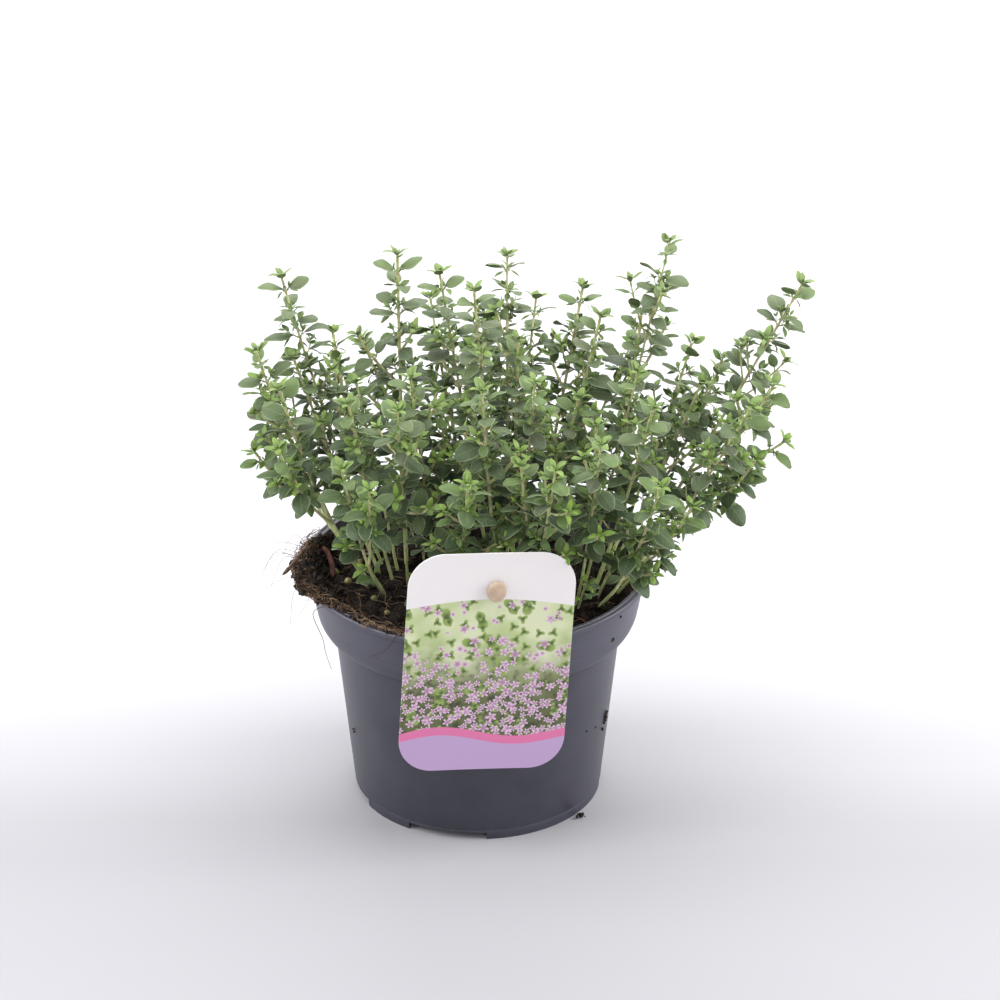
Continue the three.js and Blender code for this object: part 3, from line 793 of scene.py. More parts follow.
extras = {
    # Pairs by level: distance from the tip, leaf length, angle to the stem
    "pairs": {2.5: (19, 9.8, 70), 3.5: (31, 10.4, 76), 4.5: (45, 10.4, 80), 6: (64, 10.4, 84),
              7: (77, 10, 86), 8: (91, 9, 88), 9: (105, 8, 88)},
    "branchPairs": [(1.2, 4.2, 32), (5.6, 6.8, 56), (12, 8.8, 68), (20, 9.8, 76)],
    # Bare length above the soil, by clump
    "bare": {"left": 36, "inner": 10, "middle": 20, "right": 32, "back": 9},
    # Tufts in the axils, by level: stalk length, pairs, leaf length
    "axil": {1: (1.6, 1, 4.4), 2: (2.6, 2, 4.8), 2.5: (3.2, 1, 5.0), 3: (4.0, 2, 5.8), 3.5: (4.4, 2, 5.8),
             4: (5.6, 3, 6.4), 4.5: (6.0, 3, 6.4), 5: (6.6, 3, 6.6), 6: (6.8, 3, 6.6), 7: (6.5, 3, 6.4),
             8: (6.0, 2, 6.0), 9: (5.0, 2, 5.6)},
    # Branches in the axils, by level: shortest and longest
    "branch": {3: (8, 14), 3.5: (9, 17), 4: (10, 21), 4.5: (11, 24), 5: (12, 26), 6: (13, 28), 7: (13, 28),
               8: (12, 26), 9: (10, 22)},
    "branchBase": 0.55, "branchGap": 1.6, "branchLeafWidth": 0.56, "branchTries": 4,
    # Real stems are thinner than the solids': least and greatest share of their radius
    "stemShare": (0.66, 1.08),
    "stalkRadius": 0.3, "stalkLean": 44, "gap": 0.9, "pairGap": 1.2, "roll": 26, "seed": 77,
    # Leaves that droop are lifted towards this rise, by this share
    "level": 0.12, "levelShare": 0.6,
    # Share of axils that hold a branch, by clump
    "branchShare": {"left": 0.3, "inner": 0.44, "middle": 0.44, "right": 0.28, "back": 0.44},
    # Beyond this reach from the middle, nothing hangs below this height
    "rimClear": (54, 103),
    # Low shoots: foot in plan, tip, and the stem whose sprig they belong to
    "low": [((-22, 20), (-33, 28, 116), 31), ((-15, 30), (-24, 44, 119), 32), ((-31, 14), (-45, 20, 107), 32),
            ((-9, 38), (-12, 53, 114), 33), ((-20, 10), (-22, 16, 110), 31), ((-35, 26), (-44, 34, 104), 32),
            ((12, 44), (14, 52, 112), 34), ((28, 36), (36, 44, 112), 36), ((38, 26), (46, 28, 110), 37),
            ((37, -25), (40, -31, 99), 27), ((45, -15), (51, -19, 101), 27), ((29, -29), (33, -39, 97), 28),
            ((-34, -12), (-41, -17, 98), 8), ((2, -24), (-2, -34, 100), 15),
            ((-16, -22), (-20, -32, 100), 8)],
    "lowSeed": 31, "lowTries": 8,
    # Buds at the tips, from the outside in: leaf length, angle to the stem
    "buds": [(5.4, 54), (4.4, 36), (2.8, 15)], "budWidth": 0.42,
}


# A thin side stalk in an axil, with leaf pairs that grow smaller towards its tip
class Stalk:
    def __init__(self, node, turn, lean, length, rise):
        out = outwards(node.heading, turn)
        start = node.point + out * (0.3 * node.radius)
        way = node.heading * math.cos(lean) + out * math.sin(lean)
        middle = start + way * (0.55 * length)
        self.line = [start, middle, middle + unit(way + node.heading * rise) * (0.45 * length)]
        self.leaves = []


# A pair of leaves at a node, each one clear of the other stems or left out
def growPair(node, turn, length, opening, stem, taken, chance, width=plant["leafWidth"]):
    for half in (0, math.pi):
        size = length * chance.uniform(0.82, 1.15)
        for twist, lift in ((0, 0), (0.35, -0.1), (-0.35, -0.1), (0, -0.4)):
            lean = math.radians(opening + chance.uniform(-8, 8)) + lift
            leaf = Leaf(node, turn + half + twist, lean, size, width * chance.uniform(0.86, 1.06))
            leaf.levelled()
            leaf.rolled(math.radians(chance.uniform(-1, 1) * extras["roll"]))
            samples = leaf.samples()
            if taken.clear(samples, [stem.owner], extras["pairGap"]) and not isInTheWay(samples):
                taken.add(samples, stem.owner)
                leaf.age = node.age
                node.leaves.append(leaf)
                break


def growMorePairs(grown, taken, chance):
    for level, (distance, length, opening) in extras["pairs"].items():
        for stem in grown:
            isMain = stem.owner < 100
            bare = extras["bare"][stems[stem.shoot][0]] + 12 if isMain else 8
            if distance > stem.length - bare or (not isMain and level > 4):
                continue
            turn = stem.start + 90 * (level % 2) + chance.uniform(-14, 14)
            node = Node(stem, distance * chance.uniform(0.95, 1.05), turn, level)
            node.age = 1
            node.leaves = []
            growPair(node, math.radians(turn), length, opening, stem, taken, chance)
            stem.nodes.append(node)


# A leafy branch in an axil, bending up after its parent
def growBranch(node, turn, parent, taken, chance):
    shortest, longest = extras["branch"][node.level]
    for _ in range(extras["branchTries"]):
        length = chance.uniform(shortest, longest)
        out = outwards(node.heading, turn + chance.uniform(-0.5, 0.5))
        lean = math.radians(chance.uniform(36, 58))
        way = node.heading * math.cos(lean) + out * math.sin(lean)
        start = node.point + out * (0.3 * node.radius)
        bend = start + way * (0.55 * length)
        tip = bend + unit(way + node.heading * 0.35 + vec(0, 0, 0.35)) * (0.5 * length)
        line = [bezier(start, bend, tip, k / 6) for k in range(7)]
        points = along(line, 1.5)[1:]
        if taken.clear(points, [parent.owner], extras["branchGap"]) and not isInTheWay(points):
            return leafyBranch(line, node.level, parent, taken, chance)
    return None


def leafyBranch(line, age, parent, taken, chance):
    taken.add(along(line, 1.5), parent.owner)
    branch = Stem(parent.shoot, parent.owner, line, extras["branchBase"], 0)
    branch.start = chance.uniform(0, 360)
    for level, (distance, size, opening) in enumerate(extras["branchPairs"]):
        if distance < branch.length - 2.5:
            turn = branch.start + 90 * level
            knot = Node(branch, distance * chance.uniform(0.92, 1.08), turn, -1)
            knot.age = min(1, 0.04 * age + 0.24 * level)
            knot.leaves = []
            growPair(knot, math.radians(turn), size, opening, branch, taken, chance,
                     extras["branchLeafWidth"])
            branch.nodes.append(knot)
    return branch


# Short shoots near the soil, each moved a little where it would touch another
def growLow(grown, taken):
    chance = random.Random(extras["lowSeed"])
    shoots = []
    for (x, y), tip, index in extras["low"]:
        parent = grown[index]
        for attempt in range(extras["lowTries"]):
            shift = vec(chance.gauss(0, attempt), chance.gauss(0, attempt), 0) * 0.6
            foot, end = vec(x, y, plant["soilLevel"] - 2) + shift, vec(*tip) + shift
            bend = foot + (end - foot) * 0.5 + vec(0, 0, 3)
            line = [bezier(foot, bend, end, k / 6) for k in range(7)]
            points = along(line, 1.5)
            if taken.clear(points, [], extras["branchGap"]) and not isInTheWay(points):
                shoots.append(leafyBranch(line, 6, parent, taken, chance))
                break
    return shoots


def growTuft(node, turn, plan, stem, taken, chance):
    length, pairCount, leafLength = plan
    length *= chance.uniform(0.6, 1.5)
    lean = math.radians(extras["stalkLean"] + chance.uniform(-9, 9))
    stalk = Stalk(node, turn, lean, length, chance.uniform(0.2, 0.7))
    if not taken.clear(stalk.line[1:], [stem.owner], extras["gap"]):
        return
    spin = chance.uniform(0, math.pi)
    for k in range(pairCount + 1):
        share = k / max(1, pairCount)
        knot = Node(stem, node.place, 0, node.level)
        knot.point, knot.heading = fromTip(stalk.line, length * (0.62 - 0.58 * share))
        knot.radius = 0.2
        size = leafLength * (1 - 0.5 * share) * chance.uniform(0.85, 1.2)
        for half in (0, math.pi):
            opening = math.radians(68 - 44 * share + chance.uniform(-8, 8))
            leaf = Leaf(knot, spin + half + k * math.pi / 2, opening, size, chance.uniform(0.38, 0.5))
            samples = leaf.samples()[[2, 5, 8, 10]]
            if taken.clear(samples, [stem.owner], extras["gap"]) and not isInTheWay(samples):
                taken.add(samples, stem.owner)
                leaf.age = max(0.02, 0.1 * node.level - 0.25 * share + chance.uniform(-0.05, 0.1))
                stalk.leaves.append(leaf)
    if stalk.leaves:
        stem.stalks.append(stalk)


# The youngest leaves, upright round the tip
def growBuds(stem, chance):
    tip = Node(stem, 0.4, 0, 0)
    for k, (length, opening) in enumerate(extras["buds"]):
        for half in (0, 180):
            turn = math.radians(stem.start + 90 + 90 * k + half)
            size = length * chance.uniform(0.85, 1.15)
            bud = Leaf(tip, turn, math.radians(opening), size, extras["budWidth"])
            bud.base = bud.base - bud.out * (0.5 * tip.radius)
            bud.age = 0
            stem.buds.append(bud)


def growExtras(grown, taken):
    chance = random.Random(extras["seed"])
    growMorePairs(grown, taken, chance)
    branches = []
    for stem in grown:
        share = extras["branchShare"][stems[stem.shoot][0]]
        for node in stem.nodes:
            plan = extras["axil"].get(node.level)
            crossed = 90 * (node.level % 2) if node.level < len(pairs) and node.level % 1 == 0 else 0
            for half in (0, 180):
                turn = math.radians(node.turn + crossed + half)
                branch = None
                if node.level in extras["branch"] and chance.random() < share:
                    branch = growBranch(node, turn, stem, taken, chance)
                if branch:
                    branches.append(branch)
                elif plan:
                    growTuft(node, turn, plan, stem, taken, chance)
    grown += branches
    for stem in grown:
        growBuds(stem, chance)
    for shoot in growLow(grown, taken):
        growBuds(shoot, chance)
        grown.append(shoot)


# Leaf blades: a flat template in the leaf's own measures, thickened, then bent into place

blade = {"petiole": 0.2, "petioleWidth": 0.1, "lift": 0.32,
         "thick": {"large": 0.26, "small": 0.2},
         "size": {"large": (4, 8), "small": (2, 6)}, "blunt": {"large": 0.56, "small": 0.76}}


# Half the leaf's width along it, as a share of its greatest half width
def bladeOutline(t, blunt):
    s = np.clip((t - blade["petiole"]) / (1 - blade["petiole"]), 0, 1)
    oval = 0.95 * np.sin(math.pi * s ** 0.88) ** blunt
    return np.maximum(oval, blade["petioleWidth"] * (t < 0.5))


def bladeTemplate(name, across, rows):
    bm = bmesh.new()
    verts = bmesh.ops.create_grid(bm, x_segments=across, y_segments=rows, size=1)["verts"]
    for vert in verts:
        row = round((vert.co.y + 1) / 2 * rows)
        share = 0.5 - 0.5 * math.cos(math.pi * (row - 1) / (rows - 1))
        vert.co.y = blade["petiole"] + (1 - blade["petiole"]) * share if row else 0
    tip = [v for v in verts if v.co.y > 0.999]
    bmesh.ops.pointmerge(bm, verts=tip, merge_co=(0, 1, 0))
    bmesh.ops.solidify(bm, geom=bm.verts[:] + bm.edges[:] + bm.faces[:], thickness=1)
    mesh = bpy.data.meshes.new(name)
    bm.to_mesh(mesh)
    bm.free()
    return mesh


class Blade:
    def __init__(self, kind):
        self.mesh = bladeTemplate(kind + "Blade", *blade["size"][kind])
        self.blunt, self.thick = blade["blunt"][kind], blade["thick"][kind]
        place = np.array([v.co for v in self.mesh.vertices])
        self.across, self.along, self.high = place.T
        self.high = self.high - self.high.min()

    def add(self, bm, leaf, chance):
        first = len(bm.verts)
        bm.from_mesh(self.mesh)
        bm.verts.ensure_lookup_table()
        half = bladeOutline(self.along, self.blunt) * chance.uniform(0.9, 1.12) * 0.5
        cup = chance.uniform(-0.1, 0.16)
        curl = chance.uniform(0.02, 0.16)
        twist = chance.uniform(-0.5, 0.5) * self.along
        sweep = chance.uniform(-0.14, 0.14) * self.along ** 2
        edge = np.abs(self.across)
        dish = leaf.width * (cup * edge - curl * edge ** 3) * np.minimum(1, 2 * half)
        ripple = leaf.width * 0.03 * np.sin(self.along * 11 + 5 * cup) * edge ** 2
        side = self.across * half * np.cos(twist) + sweep
        high = dish + ripple + self.across * half * np.sin(twist) * leaf.width
        drop = chance.uniform(-0.1, 0.06) * self.along ** 2 * leaf.length
        thin = self.thick * (0.55 + 0.45 * (1 - edge ** 2)) * self.high
        points = leaf.at(self.along, side, blade["lift"] * min(1, leaf.length / 8) + high + drop + thin)
        layers = [bm.verts.layers.float[name] for name in ("along", "across", "age", "tone", "upper")]
        tone = chance.random()
        for vert, point, t, a, up in zip(bm.verts[first:], points, self.along, self.across, self.high):
            vert.co = point
            for layer, value in zip(layers, (t, a, leaf.age, tone, up)):
                vert[layer] = value


def leafGreen():
    finish = Finish("leafGreen", **{"Specular IOR Level": 0.27})
    place = finish.place()
    age, tone = finish.attribute("age"), finish.attribute("tone")
    t, edge = finish.attribute("along"), finish.attribute("across").size()
    cloud = finish.noise(place, 330, 3, 0.6)
    stops = [(0, tint(114, 144, 52)), (0.3, tint(92, 118, 55)), (0.7, tint(75, 93, 55)),
             (1, tint(65, 82, 52))]
    colour = finish.node("ValToRGB", {"stops": stops}, {"Fac": age})
    colour = finish.mix(tone.rise(0.3, 1) * 0.24, colour, tint(102, 117, 82))
    colour = finish.mix(cloud.rise(0.35, 0.7) * 0.3, colour, tint(58, 76, 50))
    colour = finish.mix((1 - tone.rise(0.04, 0.12)) * 0.24, colour, tint(106, 94, 90))
    # Painted highlight: leaves higher up are paler, standing in for the brighter light on the top of the
    # plant
    colour = finish.mix(finish.axis(place, 2).rise(0.13, 0.21) * 0.3, colour, tint(142, 152, 120))
    veins = ((t * 40 - edge * 9).sine().rise(0.72, 0.98) * 0.5 + (1 - edge.rise(0.02, 0.1))) * age
    colour = finish.mix(veins * 0.2, colour, tint(130, 150, 112))
    margin = edge.rise(0.8, 0.98) * (1 - (1 - t).rise(0.7, 0.85))
    colour = finish.mix(margin * 0.3, colour, tint(176, 186, 150))
    stalk = 1 - t.rise(0.06, 0.2)
    colour = finish.mix(stalk * 0.7, colour, tint(134, 148, 92))
    under = 1 - finish.attribute("upper")
    colour = finish.mix(under * 0.5, colour, tint(108, 122, 88))
    glands = finish.noise(place, 2400, 1)
    finish.bump(glands * 0.5 - veins * 0.9 + cloud * 0.6, 0.3, 0.00025)
    return finish.surface(colour, 0.4 + cloud * 0.2)


def stemGreen():
    finish = Finish("stemGreen", **{"Sheen Weight": 0.1, "Specular IOR Level": 0.3})
    place = finish.place()
    age, joint, tone = (finish.attribute(name) for name in ("age", "joint", "tone"))
    streak = finish.noise(finish.stretched((900, 900, 120)), 1, 2)
    fresh = finish.mix(streak.rise(0.3, 0.7), tint(166, 180, 106), tint(204, 210, 152))
    ruddy = finish.mix(streak.rise(0.3, 0.7), tint(166, 150, 122), tint(202, 188, 160))
    colour = finish.mix((1 - (age - 0.35).size().rise(0.1, 0.42)) * (0.25 + tone * 0.45), fresh, ruddy)
    colour = finish.mix(joint * 0.5, colour, tint(136, 108, 82))
    finish.bump(streak, 0.3, 0.0002)
    return finish.surface(colour, 0.55 + streak * 0.15)


# The stem as a smooth square rod, swollen where leaves part from it
def addStem(bm, stem, chance):
    path = smoothPath(stem.line, 3.2)
    steps = np.linalg.norm(np.diff(path, axis=0), axis=1)
    place = steps.sum() - np.concatenate([[0], np.cumsum(steps)])
    knots = [node.place for node in stem.nodes]
    extra = [knot + shift for knot in knots for shift in (-1.1, 0, 1.1)]
    places = np.array(sorted({*place.tolist(), *extra}, reverse=True))
    places = places[(places >= 0) & (places <= place[0])]
    keep = np.concatenate([[True], np.diff(places) < -0.35])
    places = places[keep]
    points = np.column_stack([np.interp(places, place[::-1], path[::-1, k]) for k in range(3)])
    near = np.min(np.abs(places[:, None] - np.array(knots)[None, :]), axis=1)
    swell = np.exp(-((near / 0.95) ** 2))
    radii = stem.radius(places) * (1 + 0.32 * swell) * chance.uniform(*extras["stemShare"])
    values = {"age": np.clip(places / 90, 0, 1), "joint": swell, "tone": [chance.random()] * len(places)}
    start = outwards(unit(points[1] - points[0]), 0)
    addSkin(bm, tubeRings(points, radii, 8, start, -0.07), values)


def makeSprig(index, grown, blades, materials):
    chance = random.Random(900 + index)
    bm = bmesh.new()
    for name in ("along", "across", "age", "tone", "upper", "joint"):
        bm.verts.layers.float.new(name)
    for stem in grown:
        for leaf in (leaf for node in stem.nodes for leaf in node.leaves):
            if not leaf.isRolled:
                leaf.rolled(math.radians(chance.uniform(-1, 1) * extras["roll"]))
            blades["large"].add(bm, leaf, chance)
        for leaf in [*stem.buds, *(leaf for stalk in stem.stalks for leaf in stalk.leaves)]:
            blades["small"].add(bm, leaf, chance)
    for face in bm.faces:
        face.material_index = 1
    for stem in grown:
        addStem(bm, stem, chance)
        for stalk in stem.stalks:
            path = smoothPath(stalk.line, 1.6)
            radii = np.linspace(1, 0.6, len(path)) * extras["stalkRadius"]
            values = {"age": [0.75] * len(path), "joint": [0.1] * len(path), "tone": [0.3] * len(path)}
            addSkin(bm, tubeRings(path, radii, 5), values)
    bmesh.ops.recalc_face_normals(bm, faces=bm.faces)
    name = f"{index + 1:02d}"
    finishPiece("sprig_" + name, bm, materials, ["shoot_" + name], sharp=60)


def makePlant():
    taken = Taken()
    taken.add([*along(pinLine(), 1.5), *labelPoints()], -1)
    grown = growStems(taken, randomFrom(plant["stemSeed"]))
    growLeaves(grown, taken, randomFrom(plant["leafSeed"]))
    growExtras(grown, taken)
    blades = {kind: Blade(kind) for kind in blade["size"]}
    materials = [stemGreen(), leafGreen()]
    for index in range(len(stems)):
        makeSprig(index, [stem for stem in grown if stem.shoot == index], blades, materials)
    for item in blades.values():
        bpy.data.meshes.remove(item.mesh)


# Soil

soil = {
    "fit": 0.35, "steps": 210, "rings": 64, "topRadius": 59.5, "relief": 1.5,
    "spillStart": 160, "spillEnd": 215, "spillFoot": 59.8, "spillReach": 70, "spillSteps": 12,
    "spillSeed": 41,
    # Crumbs on the soil and on the spill: count, largest
    "crumbs": (1300, 1.5), "spillCrumbs": (620, 1.1), "twigClear": 2.8, "seed": 5,
    # Crumbs on the lip: first angle, last angle, count
    "lip": [(196, 264, 170), (-18, -10, 34)], "lipReach": (60.3, 64.6),
}

# Loose sticks, with their bow sideways
sliver = {"length": 18, "width": 2, "thick": 1, "bow": -1.4,
          "place": (-56, 2.8, 91.2), "turn": 104, "pitch": -14}
twig = {"length": 17, "width": 1.5, "thick": 1.5, "bow": 0.4,
        "place": (-67.8, -1.5, 94), "turn": -123, "pitch": 19}


# Height of the soil's surface, with its clods
def soilTop(x, y):
    clods = math.sin(0.31 * x + 1.3) * math.cos(0.27 * y - 0.4) + math.sin(0.53 * y + 0.41 * x)
    return plant["soilLevel"] + plant["soilSlope"] * x + plant["clodHeight"] * clods


def crumble(point, size, depth):
    spot = Vector(point)
    return depth * (noise.fractal(spot / size, 0.9, 2.1, 4) + 0.25 * noise.noise(spot * 1.7))


# How far the spill bulges over the lip, from 0 to 1, along its arc
def spillAmount(u):
    return math.sqrt(max(0, math.sin(math.pi * min(1, max(0, u)) ** 1.5)))


def spillAngle(u):
    return math.radians(soil["spillStart"] + (soil["spillEnd"] - soil["spillStart"]) * u)


def spillSection(angle, amount, rise):
    reach = soil["spillFoot"] + (soil["spillReach"] - soil["spillFoot"]) * amount
    droop = 1.4 if reach > 67 else 0
    over = pot["height"] + soil["fit"]
    crest = over + 0.6 + rise * amount
    section = [(56.5, 84), (59.4, 86), (min(reach, 60.8), over), (max(reach - 1.6, 59), over),
               (reach, over - droop), (reach, over + 0.8), (min(reach - 1, 65), crest),
               (min(reach - 2, 61), crest - 0.6), (57.8, 89)]
    return [polar(r, angle, z) for r, z in reversed(section)]


# The same spill as the solid, with more rings and points, and broken up
def addSpill(bm):
    draws = randomFrom(soil["spillSeed"])
    rings = []
    for i in range(soil["spillSteps"] + 1):
        u = i / soil["spillSteps"]
        amount = spillAmount(u) * (0.76 + 0.24 * next(draws))
        rise = 0.8 + 1.8 * next(draws)
        rings.append(np.array(spillSection(spillAngle(u), amount, rise)))
    fine = []
    for here, there in zip(rings, rings[1:]):
        fine += [here + (there - here) * k / 8 for k in range(8)]
    fine.append(rings[-1])
    dense = []
    for ring in fine:
        following = np.roll(ring, -1, axis=0)
        dense.append(np.concatenate([[a + (b - a) * k / 6 for k in range(6)]
                                     for a, b in zip(ring, following)]))
    for ring in dense:
        middle = ring.mean(axis=0)
        for point in ring:
            if point[2] > 91 or math.hypot(point[0], point[1]) > 62:
                away = unit(point - middle)
                point += away * max(-1.0, crumble(point, 2.6, 0.9))
                if point[2] < pot["height"] + 0.3 and math.hypot(point[0], point[1]) < 66:
                    point[2] = pot["height"] + 0.3
    addSkin(bm, dense)


# Crumbs: one rough ball, copied, stretched and broken up; a bmesh of their own keeps their order
def addCrumbs(bm, spots, chance):
    ball = bmesh.new()
    bmesh.ops.create_icosphere(ball, subdivisions=1, radius=1)
    template = bpy.data.meshes.new("crumb")
    ball.to_mesh(template)
    ball.free()
    heap = bmesh.new()
    layer = heap.verts.layers.float.new("tone")
    for place, size in spots:
        first = len(heap.verts)
        heap.from_mesh(template)
        heap.verts.ensure_lookup_table()
        stretch = Vector([size * chance.uniform(0.6, 1.3) for _ in range(3)])
        tone = chance.random()
        for vert in heap.verts[first:]:
            vert.co = Vector(place) + vert.co * chance.uniform(0.7, 1.25) * stretch
            vert[layer] = tone
    joined = bpy.data.meshes.new("crumbs")
    heap.to_mesh(joined)
    heap.free()
    bm.from_mesh(joined)
    bpy.data.meshes.remove(template)
    bpy.data.meshes.remove(joined)


# Where crumbs lie: on the soil, on the spill and on the lip, clear of the twig. The faces are sorted by
# their corners first, because merging leaves them in another order each run.
def crumbSpots(bm, chance):
    sortedFaces = sorted(bm.faces, key=lambda face: sorted(tuple(vert.co) for vert in face.verts))
    faces = [(f.calc_center_median(), f.normal.copy(), f.calc_area()) for f in sortedFaces]
    top = [face for face in faces if face[0].z > 83 and face[1].z > -0.2]
    edge = [face for face in faces if face[0].z > 89 and face[0].xy.length > 58]
    spots = []
    stick = [Vector(point) for point in stickPath(twig)]
    for group, (count, largest) in ((top, soil["crumbs"]), (edge, soil["spillCrumbs"])):
        for centre, normal, _ in chance.choices(group, [area for _, _, area in group], k=count):
            size = 0.3 + largest * chance.random() ** 3
            spot = centre + normal * size * chance.uniform(0.3, 0.8)
            if min((spot - point).length for point in stick) > soil["twigClear"]:
                spots.append((spot, size))
    for first, last, count in soil["lip"]:
        for _ in range(count):
            angle, reach = math.radians(chance.uniform(first, last)), chance.uniform(*soil["lipReach"])
            size = 0.25 + 0.8 * chance.random() ** 2
            spots.append((polar(reach, angle, pot["height"] + 0.4 * size), size))
    return spots


def makeSoil():
    bm = bmesh.new()
    layer = bm.verts.layers.float.new("tone")
    side = [(r - soil["fit"], z + soil["fit"]) for r, z in innerFace()[:-1]]
    floor = pot["channelHeight"] + pot["wall"] + soil["fit"]
    shares = np.linspace(1, 0, soil["rings"] + 1)
    top = [(soil["topRadius"] * share, plant["soilLevel"]) for share in shares]
    spinProfile(bm, [(0, floor), *side, *top], soil["steps"])
    for vert in bm.verts:
        if vert.co.z > plant["soilLevel"] - 1:
            x, y = vert.co.x, vert.co.y
            vert.co.z = soilTop(x, y) + crumble((x, y, 0), 2.6, soil["relief"])
    addSpill(bm)
    bmesh.ops.recalc_face_normals(bm, faces=bm.faces)
    for vert in bm.verts:
        vert[layer] = 0.5 + 0.5 * noise.noise(vert.co / 3)
    chance = random.Random(soil["seed"])
    addCrumbs(bm, crumbSpots(bm, chance), chance)
    finish = compost()
    finishPiece("potting_soil", bm, [finish], ["soil"], sharp=50)
    makeStrays(finish)


# Crumbs that stick to the wall and lie by the foot: angle, height, count, spread
strays = {"places": [(-18, 34.5, 13, 1.1), (-20, 30.5, 2, 0.5), (-28, 35, 1, 0.5), (-36, 38, 1, 0.5),
                     (-34.7, 78.2, 4, 0.7), (-32, 86.4, 2, 0.4), (-37.5, 0.8, 16, 1.6), (201, 30, 2, 0.5)],
          "size": 0.62, "seed": 17}


# The pot's outer radius at a height
def wallRadius(height):
    heights = (0, pot["shoulderHeight"], pot["bandHeight"], pot["height"] - pot["lipDepth"])
    radii = (pot["footRadius"], pot["shoulderRadius"], pot["bandRadius"], pot["neckRadius"])
    return float(np.interp(height, heights, radii))


def makeStrays(finish):
    chance = random.Random(strays["seed"])
    bm = bmesh.new()
    bm.verts.layers.float.new("tone")
    placed = []
    for angle, height, count, spread in strays["places"]:
        onFloor = height < 2
        for _ in range(count):
            z = height if onFloor else height + chance.gauss(0, spread)
            reach = wallRadius(z) + (2.6 + chance.gauss(0, 0.8) if onFloor else 0.15)
            turn = math.radians(angle) + chance.gauss(0, 0.6 * spread) / reach
            size = strays["size"] * chance.uniform(0.5, 1.4)
            placed.append((polar(reach, turn, max(z, 0.7 * size)), size))
    addCrumbs(bm, placed, chance)
    finishPiece("stray_crumbs", bm, [finish], sharp=50)


def compost():
    finish = Finish("compost", **{"Specular IOR Level": 0.2})
    place = finish.place()
    tone = finish.attribute("tone")
    lumps = finish.noise(place, 420, 4, 0.65)
    specks = finish.noise(place, 1500, 2).rise(0.63, 0.7)
    colour = finish.mix(lumps.rise(0.35, 0.68), tint(20, 18, 17), tint(48, 40, 35))
    colour = finish.mix(tone.rise(0.75, 0.97) * 0.45, colour, tint(88, 64, 48))
    colour = finish.mix(specks * 0.5, colour, tint(128, 106, 84))
    finish.bump(lumps * 1.4 + finish.noise(place, 1900, 2), 0.7, 0.0008)
    return finish.surface(colour, 0.85 + lumps * 0.1)


# Label, with a made-up print of small blossoms over a meadow and a band below it

def makeLabel():
    bm = bmesh.new()
    width, height, thick = label["width"], label["height"], label["thick"]
    plate = bmesh.ops.create_grid(bm, x_segments=1, y_segments=1, size=1)["verts"]
    bmesh.ops.scale(bm, vec=(width / 2, height / 2, 1), verts=plate)
    bmesh.ops.bevel(bm, geom=bm.verts[:], offset=label["corner"], segments=14, profile=0.5,
                    affect="VERTICES", material=-1)
    made = bmesh.ops.extrude_face_region(bm, geom=bm.faces[:])["geom"]
    lifted = [item for item in made if isinstance(item, bmesh.types.BMVert)]
    bmesh.ops.translate(bm, vec=(0, 0, thick), verts=lifted)
    bmesh.ops.recalc_face_normals(bm, faces=bm.faces)
    rims = [e for e in bm.edges if e.calc_face_angle(0) > 1.2]
    bmesh.ops.bevel(bm, geom=rims, offset=0.12, segments=2, profile=0.5, affect="EDGES", material=-1)
    hole = bmesh.new()
    bmesh.ops.create_cone(hole, cap_ends=True, segments=32, radius1=label["holeRadius"],
                          radius2=label["holeRadius"], depth=6)
    bmesh.ops.translate(hole, vec=(label["holeAcross"], label["holeUp"], 0), verts=hole.verts)
    carve(bm, hole)
    for x in range(-28, 29, 4):  # strips that let the plate bow
        bmesh.ops.bisect_plane(bm, geom=bm.verts[:] + bm.edges[:] + bm.faces[:], dist=1e-5,
                               plane_co=(x, 0, 0), plane_no=(1, 0, 0))
    uv = bm.loops.layers.uv.new("print")
    for face in bm.faces:
        for loop in face.loops:
            loop[uv].uv = (loop.vert.co.x / width + 0.5, loop.vert.co.y / height + 0.5)
    for vert in bm.verts:
        bend = label["bow"] * (abs(vert.co.x) / (width / 2)) ** 2
        vert.co = Vector(onLabel(vert.co.x, vert.co.y, vert.co.z + bend))
    finishPiece("hang_label", bm, [labelPrint()], ["label"], sharp=18)


